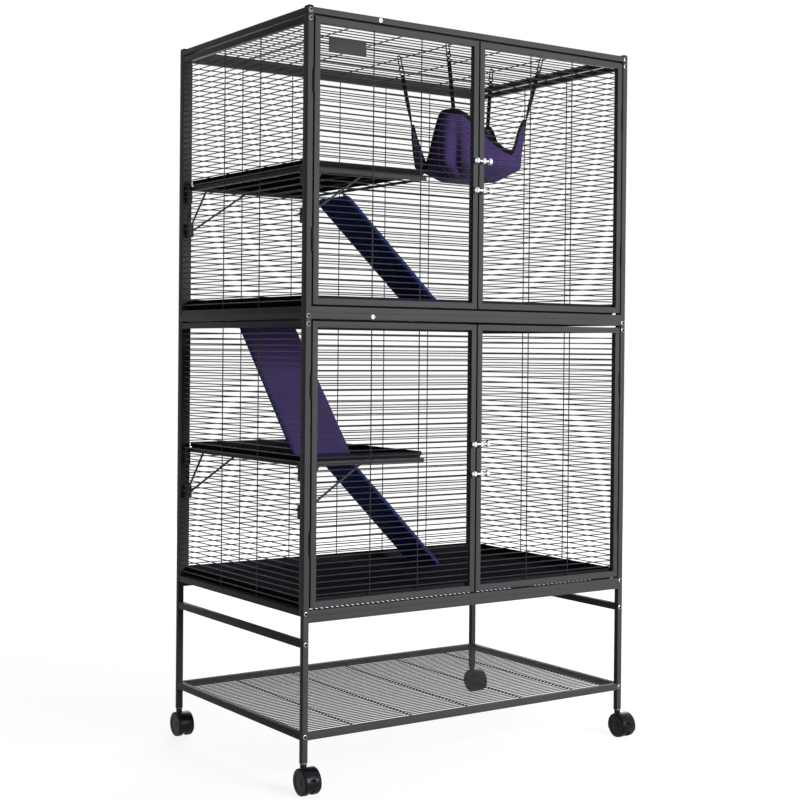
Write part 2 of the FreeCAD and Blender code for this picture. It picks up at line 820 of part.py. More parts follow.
def hammock_straps():
    pieces = []
    for foot, head in strap_ends():
        way = head - foot
        length = way.Length
        strap = box((-strap_w / 2, strap_w / 2), (-strap_t / 2, strap_t / 2), (2 * fit, length))
        level = length * buckle_at
        buckle = box((-buckle_w / 2, buckle_w / 2), (-buckle_t / 2, buckle_t / 2),
                     (level - buckle_h / 2, level + buckle_h / 2))
        piece = strap.fuse(buckle).removeSplitter()
        piece.Placement = FreeCAD.Placement(foot, FreeCAD.Rotation(Vec(0, 0, 1), way))
        pieces.append(piece.fuse(strap_loop(head)).removeSplitter())
    return pieces


def outline_shift():
    """Puts the middle of the whole outline, front levers to back casters, over the origin."""
    front = leg_axis(1, 1)[1] + caster_trail + hood_r + lever_out
    back = max(half_d, leg_axis(1, 1)[1] - caster_trail + hood_r)
    return (front - back) / 2


def save(node, pieces):
    shape = Part.makeCompound([piece.copy() for piece in pieces])
    shape.translate(Vec(0, outline_shift(), 0))
    shape.exportStep(os.path.join("parts", node + ".step"))


def main():
    os.makedirs("parts", exist_ok=True)
    save("stand_legs", legs())
    save("stand_rails", stand_rails())
    save("storage_shelf_frame", storage_frame())
    save("storage_shelf_wires", storage_wires())
    save("leg_plugs", leg_plugs())
    sides = {"left": -1, "right": 1}
    for storey, base, rise in zip(storeys, bases, shelf_tops):
        opening = gate() if storey == "upper" else None
        save(storey + "_floor_frame", floor_frame(base) + (gate_frame(base) if opening else []))
        save(storey + "_floor_wires", floor_wires(base, opening))
        save(storey + "_pan", [pan(base, opening)])
        save(storey + "_back_frame", back_frame(base))
        save(storey + "_shelf_frame", shelf_frame(base, base + rise))
        save(storey + "_shelf_pan", [shelf_pan(base + rise)])
        for side, sign in sides.items():
            save(storey + "_" + side + "_side_frame", side_frame(sign, base))
            save(storey + "_" + side + "_door_frame", door_frame(sign, base))
            save(storey + "_" + side + "_door_wires", door_wires(sign, base))
        for name, level in zip(("low", "high"), latch_levels(base)):
            save(storey + "_" + name + "_latch_bolt", latch_bolt(level))
    for side, sign in sides.items():
        save(side + "_side_wires", side_wires(sign))
    save("back_wires", back_wires())
    save("middle_ring_frame", ring(bases[0]))
    save("top_frame", ring(bases[1]))
    save("top_wires", top_wires())
    save("corner_caps", corner_caps())
    save("blank_plate", blank_plate(bases[1]))
    for name, hinge, drop, heading in ramp_places():
        slope = ramp_slope(drop)
        save(name + "_ramp_frame", place_ramp(ramp_frame_flat(), hinge, slope, heading))
        save(name + "_ramp_cover", place_ramp(ramp_cover_flat(), hinge, slope, heading))
    save("hammock_bed", hammock())
    save("hammock_straps", hammock_straps())
    for end, y in (("front", -1), ("back", 1)):
        for side, x in sides.items():
            save(end + "_" + side + "_caster_hood", caster_hood(x, y))
            save(end + "_" + side + "_caster_wheels", caster_wheels(x, y))
    for side, x in sides.items():
        save("front_" + side + "_brake_lever", brake_lever(x))


main()
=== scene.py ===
import bpy, bmesh, json, math
from mathutils import Matrix, Vector, noise


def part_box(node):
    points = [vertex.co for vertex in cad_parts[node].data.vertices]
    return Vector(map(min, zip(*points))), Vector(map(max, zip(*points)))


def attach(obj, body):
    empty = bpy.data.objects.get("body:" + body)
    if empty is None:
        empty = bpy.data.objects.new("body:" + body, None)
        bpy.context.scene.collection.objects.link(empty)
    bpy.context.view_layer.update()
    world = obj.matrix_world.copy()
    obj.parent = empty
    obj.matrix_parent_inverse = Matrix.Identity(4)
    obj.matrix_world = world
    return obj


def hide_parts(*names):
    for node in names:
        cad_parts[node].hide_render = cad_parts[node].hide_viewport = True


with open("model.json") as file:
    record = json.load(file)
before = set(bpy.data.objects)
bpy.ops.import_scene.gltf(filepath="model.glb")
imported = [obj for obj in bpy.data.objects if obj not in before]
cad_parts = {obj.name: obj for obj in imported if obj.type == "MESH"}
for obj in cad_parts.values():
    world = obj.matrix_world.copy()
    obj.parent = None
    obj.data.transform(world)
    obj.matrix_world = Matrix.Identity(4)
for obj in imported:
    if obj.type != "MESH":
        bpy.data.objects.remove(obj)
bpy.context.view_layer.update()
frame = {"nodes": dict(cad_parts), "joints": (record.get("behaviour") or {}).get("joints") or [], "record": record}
nodes = frame["nodes"]
joints = {joint["name"]: joint for joint in frame["joints"]}
bodyOf = {node: body for body, members in frame["record"]["behaviour"]["bodies"].items() for node in members}
slotOf = {part["node"]: part["material_slot"] for part in frame["record"]["subparts"]}
print("frame:", len(nodes), "nodes")


def addObject(name, data):
    item = bpy.data.objects.new(name, data)
    bpy.context.scene.collection.objects.link(item)
    return item


# camera: where it stands, its angles in degrees, its lens and sensor in mm
view = {
    "spot": (-2.024, -2.900, 0.9065),
    "yaw": 34.67, "pitch": -0.5, "roll": 0.51,
    "lens": 67.7, "sensor": 36, "shift": -0.0449, "farthest": 60,
}


def placeCamera():
    yaw, pitch, roll = (math.radians(view[angle]) for angle in ("yaw", "pitch", "roll"))
    ahead = Vector((math.sin(yaw) * math.cos(pitch), math.cos(yaw) * math.cos(pitch), math.sin(pitch)))
    level = Vector((math.cos(yaw), -math.sin(yaw), 0))
    lift = level.cross(ahead)
    right = level * math.cos(roll) + lift * math.sin(roll)
    up = lift * math.cos(roll) - level * math.sin(roll)
    data = bpy.data.cameras.new("camera")
    data.lens = view["lens"]
    data.sensor_width = view["sensor"]
    data.shift_y = view["shift"]
    data.clip_end = view["farthest"]
    camera = addObject("camera", data)
    camera.matrix_world = Matrix((right, up, -ahead)).transposed().to_4x4()
    camera.location = view["spot"]
    bpy.context.scene.camera = camera


placeCamera()


# node helpers, for the stage and for the finishes

def mathNode(tree, operation, *values, clamp=False):
    node = tree.nodes.new("ShaderNodeMath")
    node.operation = operation
    node.use_clamp = clamp
    for socket, value in zip(node.inputs, values):
        if isinstance(value, (int, float)):
            socket.default_value = value
        else:
            tree.links.new(value, socket)
    return node.outputs[0]


def arithmetic(tree):
    # adding, taking away and multiplying in one node tree
    def step(operation):
        return lambda *values, clamp=False: mathNode(tree, operation, *values, clamp=clamp)
    return step("ADD"), step("SUBTRACT"), step("MULTIPLY")


def rangeNode(tree, value, limits, interpolation="LINEAR"):
    node = tree.nodes.new("ShaderNodeMapRange")
    node.interpolation_type = interpolation
    tree.links.new(value, node.inputs["Value"])
    for label, limit in limits.items():
        node.inputs[label].default_value = limit
    return node.outputs["Result"]


def cameraRays(tree):
    # 1 for what the camera sees, straight or in a reflection, and 0 for the light that falls on the cage
    path = tree.nodes.new("ShaderNodeLightPath")
    shiny = mathNode(tree, "MAXIMUM", path.outputs["Is Glossy Ray"], path.outputs["Is Transmission Ray"])
    return mathNode(tree, "MAXIMUM", path.outputs["Is Camera Ray"], shiny)


light = {
    # each lamp's place, size and power
    "lamps": {
        "key": ((0.75, -3.3, 1.45), 1.5, 120),
        "fill": ((-4.2, -2.2, 2.4), 3.0, 3),
        "top": ((0.2, -0.2, 4.8), 2.4, 20),
        "back": ((2.3, 3.0, 1.9), 3.0, 90),
    },
    "aim": (0.0, 0.0, 0.8), "world": 0.095,
    "floorHalf": 14, "floorColour": 0.25, "floorRough": 0.9, "floorGloss": 0.1,
    # how bright the floor looks near the cage and far from it, and where the change starts and ends
    "floorNear": 0.85, "floorFar": 0.97, "nearReach": 1.2, "farReach": 4.5,
}


def makeLamp(name, spot, size, power):
    data = bpy.data.lights.new(name, "AREA")
    data.energy = power
    data.size = size
    lamp = addObject(name, data)
    lamp.location = spot
    lamp.rotation_euler = (Vector(light["aim"]) - Vector(spot)).to_track_quat("-Z", "Y").to_euler()


def makeWorld():
    # low and even light from all sides, seen as white
    world = bpy.data.worlds.new("studio")
    world.use_nodes = True
    bpy.context.scene.world = world
    tree = world.node_tree
    background = tree.nodes["Background"]
    background.inputs["Color"].default_value = (1, 1, 1, 1)
    level = rangeNode(tree, cameraRays(tree), {"To Min": light["world"], "To Max": 1.0})
    tree.links.new(level, background.inputs["Strength"])


def makeFloor():
    # floor that keeps the shadow and turns to white away from the cage
    half = light["floorHalf"]
    corners = [(-half, -half, 0), (half, -half, 0), (half, half, 0), (-half, half, 0)]
    mesh = bpy.data.meshes.new("floor")
    mesh.from_pydata(corners, [], [(0, 1, 2, 3)])
    paint = bpy.data.materials.new("paleFloor")
    paint.use_nodes = True
    tree = paint.node_tree
    shader = tree.nodes["Principled BSDF"]
    shader.inputs["Base Color"].default_value = (light["floorColour"],) * 3 + (1,)
    shader.inputs["Roughness"].default_value = light["floorRough"]
    shader.inputs["Specular IOR Level"].default_value = light["floorGloss"]
    shader.inputs["Emission Color"].default_value = (1, 1, 1, 1)
    away = tree.nodes.new("ShaderNodeVectorMath")
    away.operation = "LENGTH"
    tree.links.new(tree.nodes.new("ShaderNodeTexCoord").outputs["Object"], away.inputs[0])
    limits = {"From Min": light["nearReach"], "From Max": light["farReach"],
              "To Min": light["floorNear"], "To Max": light["floorFar"]}
    level = rangeNode(tree, away.outputs["Value"], limits, "SMOOTHSTEP")
    tree.links.new(mathNode(tree, "MULTIPLY", cameraRays(tree), level), shader.inputs["Emission Strength"])
    mesh.materials.append(paint)
    addObject("floor", mesh)


bpy.context.scene.view_settings.view_transform = "Standard"
for name, lamp in light["lamps"].items():
    makeLamp(name, *lamp)
makeWorld()
makeFloor()
print("stage and lights")


# finishes: two node groups, and the materials that use them

groupInputs = {
    "coat": {"Base": "Color", "Worn": "Color", "Pebble Scale": "Float", "Blotch": "Float",
             "Roughness": "Float", "Rough Spread": "Float", "Dust": "Float"},
    "weave": {"Warp": "Color", "Weft": "Color", "Threads": "Float", "Fade": "Float"},
}
groupOutputs = {"Color": "Color", "Roughness": "Float", "Height": "Float"}


def shaderGroup(name, inputs):
    # an empty group, with the sockets of what it is given and of what it makes
    tree = bpy.data.node_groups.new(name, "ShaderNodeTree")
    for direction, sockets in (("INPUT", inputs), ("OUTPUT", groupOutputs)):
        for label, kind in sockets.items():
            tree.interface.new_socket(label, in_out=direction, socket_type="NodeSocket" + kind)
    return tree, tree.nodes.new("NodeGroupInput").outputs, tree.nodes.new("NodeGroupOutput").inputs


def noiseNode(tree, vector, scale, detail, rough):
    node = tree.nodes.new("ShaderNodeTexNoise")
    node.inputs["Detail"].default_value = detail
    node.inputs["Roughness"].default_value = rough
    tree.links.new(vector, node.inputs["Vector"])
    if isinstance(scale, (int, float)):
        node.inputs["Scale"].default_value = scale
    else:
        tree.links.new(scale, node.inputs["Scale"])
    return node.outputs["Fac"]


def mixColour(tree, mask, first, second, target):
    node = tree.nodes.new("ShaderNodeMix")
    node.data_type = "RGBA"
    tree.links.new(mask, node.inputs["Factor"])
    tree.links.new(first, node.inputs[6])
    tree.links.new(second, node.inputs[7])
    tree.links.new(node.outputs[2], target)


# the noises are scale, detail and roughness; the pebble's scale comes with the finish
pebbled = {
    "pebble": (2.0, 0.6), "cloud": (9.0, 4.0, 0.55), "streak": (55.0, 3.0, 0.6),
    "dustLeast": 0.25, "blotchFrom": 0.35, "fleck": 0.35,
}


def makeCoatGroup():
    # pebbled finish of powder coat and moulded plastic, with soft blotches and dust on what faces up
    tree, given, made = shaderGroup("pebbledFinish", groupInputs["coat"])
    add, take, times = arithmetic(tree)
    place = tree.nodes.new("ShaderNodeTexCoord").outputs["Object"]
    pebble = noiseNode(tree, place, given["Pebble Scale"], *pebbled["pebble"])
    cloud = noiseNode(tree, place, *pebbled["cloud"])
    streak = noiseNode(tree, place, *pebbled["streak"])
    split = tree.nodes.new("ShaderNodeSeparateXYZ")
    tree.links.new(tree.nodes.new("ShaderNodeNewGeometry").outputs["Normal"], split.inputs[0])
    upward = times(mathNode(tree, "MAXIMUM", split.outputs["Z"], 0.0), given["Dust"])
    dusty = times(upward, add(streak, pebbled["dustLeast"]), clamp=True)
    blotch = times(take(cloud, pebbled["blotchFrom"]), given["Blotch"], clamp=True)
    fleck = times(take(pebble, 0.5), pebbled["fleck"])
    mask = add(add(blotch, dusty), fleck, clamp=True)
    mixColour(tree, mask, given["Base"], given["Worn"], made["Color"])
    spread = times(take(streak, 0.5), given["Rough Spread"])
    tree.links.new(add(add(given["Roughness"], spread), dusty, clamp=True), made["Roughness"])
    tree.links.new(pebble, made["Height"])
    return tree


woven = {
    "fold": (14.0, 4.0, 0.6), "slub": (420.0, 2.0, 0.6),
    "crossing": 0.55, "slubColour": 0.5, "fadeFrom": 0.45, "roughness": 0.78, "slubRoughness": 0.15,
    "threadHeight": 0.7, "slubHeight": 0.6,
}


def makeWeaveGroup():
    # plain weave on the piece's own UV map, which is in metres of cloth
    tree, given, made = shaderGroup("plainWeave", groupInputs["weave"])
    add, take, times = arithmetic(tree)
    coords = tree.nodes.new("ShaderNodeTexCoord")
    split = tree.nodes.new("ShaderNodeSeparateXYZ")
    tree.links.new(coords.outputs["UV"], split.inputs[0])
    bands = []
    for axis, shift in (("X", 0.0), ("Y", math.pi / 2)):
        turn = times(split.outputs[axis], times(given["Threads"], 2 * math.pi))
        bands.append(mathNode(tree, "SINE", add(turn, shift)))
    over = add(times(times(*bands), 0.5), 0.5)
    fold = noiseNode(tree, coords.outputs["Object"], *woven["fold"])
    slub = noiseNode(tree, coords.outputs["Object"], *woven["slub"])
    thread = add(times(over, woven["crossing"]), times(take(slub, 0.5), woven["slubColour"]))
    mask = add(thread, times(take(fold, woven["fadeFrom"]), given["Fade"]), clamp=True)
    mixColour(tree, mask, given["Warp"], given["Weft"], made["Color"])
    tree.links.new(add(times(slub, woven["slubRoughness"]), woven["roughness"]), made["Roughness"])
    height = add(times(over, woven["threadHeight"]), times(slub, woven["slubHeight"]))
    tree.links.new(height, made["Height"])
    return tree


groups = {"coat": makeCoatGroup(), "weave": makeWeaveGroup()}


def groupMaterial(name, group, values, bump, constants):
    material = bpy.data.materials.new(name)
    material.use_nodes = True
    tree = material.node_tree
    shader = tree.nodes["Principled BSDF"]
    texture = tree.nodes.new("ShaderNodeGroup")
    texture.node_tree = groups[group]
    for (label, kind), value in zip(groupInputs[group].items(), values):
        texture.inputs[label].default_value = value + (1,) if kind == "Color" else value
    tree.links.new(texture.outputs["Color"], shader.inputs["Base Color"])
    tree.links.new(texture.outputs["Roughness"], shader.inputs["Roughness"])
    relief = tree.nodes.new("ShaderNodeBump")
    relief.inputs["Strength"].default_value, relief.inputs["Distance"].default_value = bump
    tree.links.new(texture.outputs["Height"], relief.inputs["Height"])
    tree.links.new(relief.outputs["Normal"], shader.inputs["Normal"])
    for label, value in constants.items():
        shader.inputs[label].default_value = value
    return material


# per finish: its group, the group's inputs in their order, the bump's strength and distance, and plain values
soft = {"Specular IOR Level": 0.12, "Sheen Weight": 0.1, "Sheen Roughness": 0.4}
finishes = {
    "powderCoat": ("coat", ((0.068, 0.068, 0.070), (0.105, 0.105, 0.108), 950, 0.3, 0.5, 0.12, 0.1),
                   (0.25, 0.0003), {"Specular IOR Level": 0.05}),
    "wireCoat": ("coat", ((0.012, 0.012, 0.013), (0.035, 0.035, 0.037), 1300, 0.3, 0.45, 0.1, 0.05),
                 (0.2, 0.0002), {"Specular IOR Level": 0.2}),
    "panPlastic": ("coat", ((0.019, 0.020, 0.027), (0.034, 0.036, 0.046), 700, 0.25, 0.5, 0.14, 0.05),
                   (0.35, 0.0004), {"Specular IOR Level": 0.0}),
    "casterPlastic": ("coat", ((0.003, 0.003, 0.006), (0.009, 0.009, 0.014), 1200, 0.2, 0.3, 0.12, 0.05),
                      (0.2, 0.0002), {"Specular IOR Level": 0.16}),
    "wheelPlastic": ("coat", ((0.003, 0.003, 0.007), (0.010, 0.010, 0.016), 1100, 0.3, 0.42, 0.16, 0.08),
                     (0.25, 0.0002), {"Specular IOR Level": 0.15}),
    "greyPlastic": ("coat", ((0.42, 0.42, 0.43), (0.3, 0.3, 0.31), 900, 0.4, 0.5, 0.1, 0.1),
                    (0.2, 0.0002), {}),
    "plateGrey": ("coat", ((0.052, 0.052, 0.054), (0.075, 0.075, 0.078), 800, 0.4, 0.5, 0.1, 0.05),
                  (0.15, 0.0002), {"Specular IOR Level": 0.05}),
    "brightChrome": ("coat", ((0.82, 0.83, 0.85), (0.66, 0.67, 0.69), 600, 0.25, 0.12, 0.08, 0.02),
                     (0.05, 0.0001), {"Metallic": 1.0}),
    # bright metal of the rings under the post screws: a painted highlight round their dark heads
    "rimSteel": ("coat", ((0.62, 0.62, 0.64), (0.45, 0.45, 0.46), 1500, 0.3, 0.25, 0.1, 0.02),
                 (0.1, 0.0001), {"Metallic": 1.0}),
    "screwSteel": ("coat", ((0.030, 0.030, 0.031), (0.09, 0.09, 0.092), 1500, 0.4, 0.35, 0.15, 0.05),
                   (0.15, 0.0001), {"Metallic": 0.6}),
    "purpleCloth": ("weave", ((0.052, 0.030, 0.135), (0.105, 0.066, 0.215), 650, 0.5), (0.5, 0.0005), soft),
    "paleCloth": ("weave", ((0.105, 0.07, 0.2), (0.17, 0.12, 0.29), 650, 0.4), (0.5, 0.0005), soft),
    "navyCloth": ("weave", ((0.016, 0.036, 0.200), (0.036, 0.070, 0.310), 650, 0.4),
                  (0.5, 0.0005), {"Specular IOR Level": 0.08}),
    "royalCloth": ("weave", ((0.018, 0.040, 0.170), (0.034, 0.066, 0.250), 650, 0.4),
                   (0.5, 0.0005), {"Specular IOR Level": 0.12}),
    "blackWebbing": ("weave", ((0.004, 0.004, 0.0045), (0.012, 0.012, 0.013), 900, 0.3),
                     (0.7, 0.0005), {"Specular IOR Level": 0.1}),
    "purpleThread": ("weave", ((0.03, 0.018, 0.08), (0.09, 0.06, 0.19), 1400, 0.2), (0.4, 0.0003), {}),
}
paints = {name: groupMaterial(name, *recipe) for name, recipe in finishes.items()}
print("materials:", len(paints))


# mesh helpers

def outwardMesh(name, work):
    # mesh of a piece in the making, with its faces turned outwards
    bmesh.ops.recalc_face_normals(work, faces=work.faces)
    mesh = bpy.data.meshes.new(name)
    work.to_mesh(mesh)
    work.free()
    return mesh


def joinMeshes(name, works):
    total = bmesh.new()
    for work in works:
        part = bpy.data.meshes.new("part")
        work.to_mesh(part)
        work.free()
        total.from_mesh(part)
        bpy.data.meshes.remove(part)
    mesh = bpy.data.meshes.new(name)
    total.to_mesh(mesh)
    total.free()
    return mesh


def settled(piece):
    # takes a piece's modifiers into its mesh
    graph = bpy.context.evaluated_depsgraph_get()
    mesh = bpy.data.meshes.new_from_object(piece.evaluated_get(graph), depsgraph=graph)
    piece.modifiers.clear()
    old = piece.data
    piece.data = mesh
    if old.users == 0:
        bpy.data.meshes.remove(old)
    mesh.name = piece.name
    return piece


def smoothed(mesh, angle):
    for face in mesh.polygons:
        face.use_smooth = True
    mesh.set_sharp_from_angle(angle=math.radians(angle))


def painted(mesh, *names):
    for name in names:
        mesh.materials.append(paints[name])


def placed(piece, body, slot, *replaced):
    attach(piece, body)
    if replaced:
        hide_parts(*replaced)
    return piece


def corners3(spots):
    return [Vector([pick(spot[i] for spot in spots) for i in range(3)]) for pick in (min, max)]


def between(value, low=0.0, high=1.0):
    return min(high, max(low, value))


def bowed(value, power):
    return math.copysign(abs(value) ** power, value)


def runAlong(points):
    # length of a line up to each of its points
    run = [0.0]
    for first, second in zip(points, points[1:]):
        run.append(run[-1] + (second - first).length)
    return run


# the frame's own solids, with their edges rounded: finish, width and steps for each slot
rounding = {
    "powder_coat": ("powderCoat", 0.0012, 3),
    "pan_plastic": ("panPlastic", 0.0008, 2),
    "caster_plastic": ("casterPlastic", 0.0006, 2),
    "grey_plastic": ("greyPlastic", 0.0003, 1),
    "bright_chrome": ("brightChrome", 0.0006, 2),
    "plate_grey": ("plateGrey", 0.0003, 2),
}
edges = {"sharp": 40, "flat": 0.6, "merge": 2e-6}


def solidsOf(node):
    # a node's triangles, one list for each closed shell
    mesh = nodes[node].data
    corners = [tuple(round(c * 1e6) for c in v.co) for v in mesh.vertices]
    shells, shell, loose = [], [], {}
    for face in mesh.polygons:
        ring = [corners[i] for i in face.vertices]
        if len(set(ring)) < 3:
            continue
        shell.append([mesh.vertices[i].co.copy() for i in face.vertices])
        for start, end in zip(ring, ring[1:] + ring[:1]):
            if loose.get((end, start), 0):
                loose[(end, start)] -= 1
                if not loose[(end, start)]:
                    del loose[(end, start)]
            else:
                loose[(start, end)] = loose.get((start, end), 0) + 1
        if not loose:
            shells.append(shell)
            shell = []
    if shell:
        shells.append(shell)
    return shells


def cornersOf(shell):
    return [corner for triangle in shell for corner in triangle]


def shellMesh(shell):
    work = bmesh.new()
    for triangle in shell:
        work.faces.new([work.verts.new(corner) for corner in triangle])
    bmesh.ops.remove_doubles(work, verts=work.verts, dist=edges["merge"])
    flat = math.radians(edges["flat"])
    bmesh.ops.dissolve_limit(work, angle_limit=flat, verts=work.verts, edges=work.edges)
    return work


def roundNode(node, shells):
    slot = slotOf[node]
    finish, width, segments = rounding[slot]
    name = node + "_dressed"
    piece = addObject(name, joinMeshes(name, [shellMesh(shell) for shell in shells]))
    bevel = piece.modifiers.new("rounding", "BEVEL")
    bevel.width = width
    bevel.segments = segments
    bevel.limit_method = "ANGLE"
    bevel.angle_limit = math.radians(edges["sharp"])
    bevel.use_clamp_overlap = True
    settled(piece)
    smoothed(piece.data, edges["sharp"])
    painted(piece.data, finish)
    placed(piece, bodyOf[node], slot, node)


latchEyes = {}      # the last two solids of a door frame, which are turned further down
roundNodes = [node for node in nodes if slotOf[node] in rounding and not node.endswith("latch_bolt")]
for node in roundNodes:
    shells = solidsOf(node)
    if node.endswith("door_frame"):
        latchEyes[node] = shells[-2:]
        shells = shells[:-2]
    roundNode(node, shells)
print("rounded nodes:", len(roundNodes))


# geometry nodes, for what repeats or follows a line

def geometryTree(name, inputs):
    tree = bpy.data.node_groups.new(name, "GeometryNodeTree")
    for label, kind, value in [("Geometry", "Geometry", None)] + inputs + [("Material", "Material", None)]:
        socket = tree.interface.new_socket(label, in_out="INPUT", socket_type="NodeSocket" + kind)
        if value is not None:
            socket.default_value = value
    tree.interface.new_socket("Geometry", in_out="OUTPUT", socket_type="NodeSocketGeometry")
    return tree, tree.nodes.new("NodeGroupInput").outputs


def addNodes(tree, *kinds):
    return [tree.nodes.new(kind) for kind in kinds]


def linkAll(tree, pairs):
    for output, socket in pairs:
        tree.links.new(output, socket)


def finishTree(tree, given, geometry):
    real, paint = addNodes(tree, "GeometryNodeRealizeInstances", "GeometryNodeSetMaterial")
    made = tree.nodes.new("NodeGroupOutput")
    linkAll(tree, [
        (geometry, real.inputs["Geometry"]),
        (real.outputs["Geometry"], paint.inputs["Geometry"]),
        (given["Material"], paint.inputs["Material"]),
        (paint.outputs["Geometry"], made.inputs["Geometry"]),
    ])
    return tree


def makeWireTree():
    # a round wire along each edge of the input
    tree, given = geometryTree("roundWires", [("Radius", "Float", 0.0012), ("Sides", "Int", 8)])
    line, ring, sweep, smooth = addNodes(tree, "GeometryNodeMeshToCurve", "GeometryNodeCurvePrimitiveCircle",
                                         "GeometryNodeCurveToMesh", "GeometryNodeSetShadeSmooth")
    sweep.inputs["Fill Caps"].default_value = True
    linkAll(tree, [
        (given["Geometry"], line.inputs["Mesh"]),
        (given["Radius"], ring.inputs["Radius"]),
        (given["Sides"], ring.inputs["Resolution"]),
        (line.outputs["Curve"], sweep.inputs["Curve"]),
        (ring.outputs["Curve"], sweep.inputs["Profile Curve"]),
        (sweep.outputs["Mesh"], smooth.inputs["Geometry"]),
    ])
    return finishTree(tree, given, smooth.outputs["Geometry"])


def makeHeadTree():
    # one copy of a template, such as a screw head, on each point of the input
    inputs = [("Template", "Object", None), ("Turn", "Vector", (0, 0, 0))]
    tree, given = geometryTree("copiesOnPoints", inputs)
    source, spread = addNodes(tree, "GeometryNodeObjectInfo", "GeometryNodeInstanceOnPoints")
    linkAll(tree, [
        (given["Template"], source.inputs["Object"]),
        (given["Geometry"], spread.inputs["Points"]),
        (source.outputs["Geometry"], spread.inputs["Instance"]),
        (given["Turn"], spread.inputs["Rotation"]),
    ])
    return finishTree(tree, given, spread.outputs["Instances"])


def makeStitchTree():
    # short straight stitches along each line of the input, like a row of sewing
    tree, given = geometryTree("sewnRow", [("Spacing", "Float", 0.006), ("Length", "Float", 0.004),
                                           ("Thickness", "Float", 0.0005)])
    line, points, stitch, copies, align = addNodes(
        tree, "GeometryNodeMeshToCurve", "GeometryNodeCurveToPoints", "GeometryNodeMeshCylinder",
        "GeometryNodeInstanceOnPoints", "FunctionNodeAlignRotationToVector")
    points.mode = "LENGTH"
    stitch.inputs["Vertices"].default_value = 6
    align.axis = "Z"
    linkAll(tree, [
        (given["Geometry"], line.inputs["Mesh"]),
        (line.outputs["Curve"], points.inputs["Curve"]),
        (given["Spacing"], points.inputs["Length"]),
        (given["Thickness"], stitch.inputs["Radius"]),
        (given["Length"], stitch.inputs["Depth"]),
        (points.outputs["Tangent"], align.inputs["Vector"]),
        (points.outputs["Points"], copies.inputs["Points"]),
        (stitch.outputs["Mesh"], copies.inputs["Instance"]),
        (align.outputs["Rotation"], copies.inputs["Rotation"]),
    ])
    return finishTree(tree, given, copies.outputs["Instances"])


trees = {"wire": makeWireTree(), "head": makeHeadTree(), "stitch": makeStitchTree()}


def grown(name, mesh, tree, values):
    # a piece that a tree makes from a mesh of lines or points
    piece = addObject(name, mesh)
    modifier = piece.modifiers.new("growth", "NODES")
    modifier.node_group = trees[tree]
    for item in trees[tree].interface.items_tree:
        if item.in_out == "INPUT" and item.name in values:
            modifier[item.identifier] = values[item.name]
    piece.update_tag()
    return settled(piece)


def lineMesh(name, lines):
    points, links = [], []
    for line in lines:
        first = len(points)
        points += [tuple(point) for point in line]
        links += [(first + i, first + i + 1) for i in range(len(line) - 1)]
    mesh = bpy.data.meshes.new(name)
    mesh.from_pydata(points, links, [])
    return mesh


def roundWires(name, lines, radius, sides, paint):
    values = {"Radius": radius, "Sides": sides, "Material": paints[paint]}
    return grown(name, lineMesh(name, lines), "wire", values)


# wires of the panels, round where the frame has square bars

wires = {"radius": 0.00125, "sides": 8}


def wireLine(shell):
    # middle line of a square bar
    low, high = corners3(cornersOf(shell))
    size = high - low
    axis = max(range(3), key=lambda i: size[i])
    start = (low + high) / 2
    end = start.copy()
    start[axis], end[axis] = low[axis], high[axis]
    return start, end


wireNodes = [node for node in nodes if slotOf[node] == "wire_coat"]
for node in wireNodes:
    lines = [wireLine(shell) for shell in solidsOf(node)]
    piece = roundWires(node + "_round", lines, wires["radius"], wires["sides"], "wireCoat")
    placed(piece, bodyOf[node], "wire_coat", node)
print("wire panels:", len(wireNodes))


# screws in the posts, each on a wider bright metal ring that is a painted highlight round its dark head, and the
# bright ones in the front rails

screws = {
    "post": {"radius": 0.0038, "height": 0.0022, "socket": 0.0019, "depth": 0.0014, "paint": "screwSteel"},
    # a flat ring, wider than the head and bright: the painted highlight round the rim of each post screw
    "ringHighlight": {"radius": 0.0047, "height": 0.0008, "socket": 0.0, "depth": 0.0, "paint": "rimSteel"},
    "rail": {"radius": 0.0054, "height": 0.0022, "socket": 0.0022, "depth": 0.0012, "paint": "brightChrome"},
}
screwPlan = {
    "outline": ((1, 0), (1, 0.25), (0.93, 0.6), (0.75, 0.88), (0.6, 1)),     # shares of radius and height
    "steps": 24, "sharp": 50,
    "frameGap": 0.004, "railRise": 0.0075, "topRailAt": -0.263, "middleRailAt": -0.276,
}


def screwHead(kind):
    # button head with a six-sided socket, or a plain flat ring that is the painted highlight round a head,
    # standing on +Z
    radius, height, socket, depth = (screws[kind][key] for key in ("radius", "height", "socket", "depth"))
    count = screwPlan["steps"]
    turns = [2 * math.pi * i / count for i in range(count)]
    # each ring is the reach at every turn, and its height
    rings = [([radius * wide] * count, height * high) for wide, high in screwPlan["outline"]]
    if socket:
        sixth = math.pi / 3
        flats = [socket * math.cos(sixth / 2) / math.cos(turn % sixth - sixth / 2) for turn in turns]
        rings += [(flats, height), (flats, height - depth)]
    work = bmesh.new()
    verts = []
    for reaches, z in rings:
        spots = [(reach * math.cos(turn), reach * math.sin(turn), z) for reach, turn in zip(reaches, turns)]
        verts.append([work.verts.new(spot) for spot in spots])
    for lower, upper in zip(verts, verts[1:]):
        for i in range(count):
            j = (i + 1) % count
            work.faces.new((lower[i], lower[j], upper[j], upper[i]))
    work.faces.new(verts[-1])
    work.faces.new(verts[0][::-1])
    mesh = outwardMesh("screwHead", work)
    smoothed(mesh, screwPlan["sharp"])
    return addObject("screwHead", mesh)


def screwRow(name, points, turn, kind):
    template = screwHead(kind)
    values = {"Template": template, "Turn": (turn, 0, 0), "Material": paints[screws[kind]["paint"]]}
    piece = grown(name, lineMesh(name, [[point] for point in points]), "head", values)
    bpy.data.objects.remove(template)
    placed(piece, "cage", "bright_chrome")


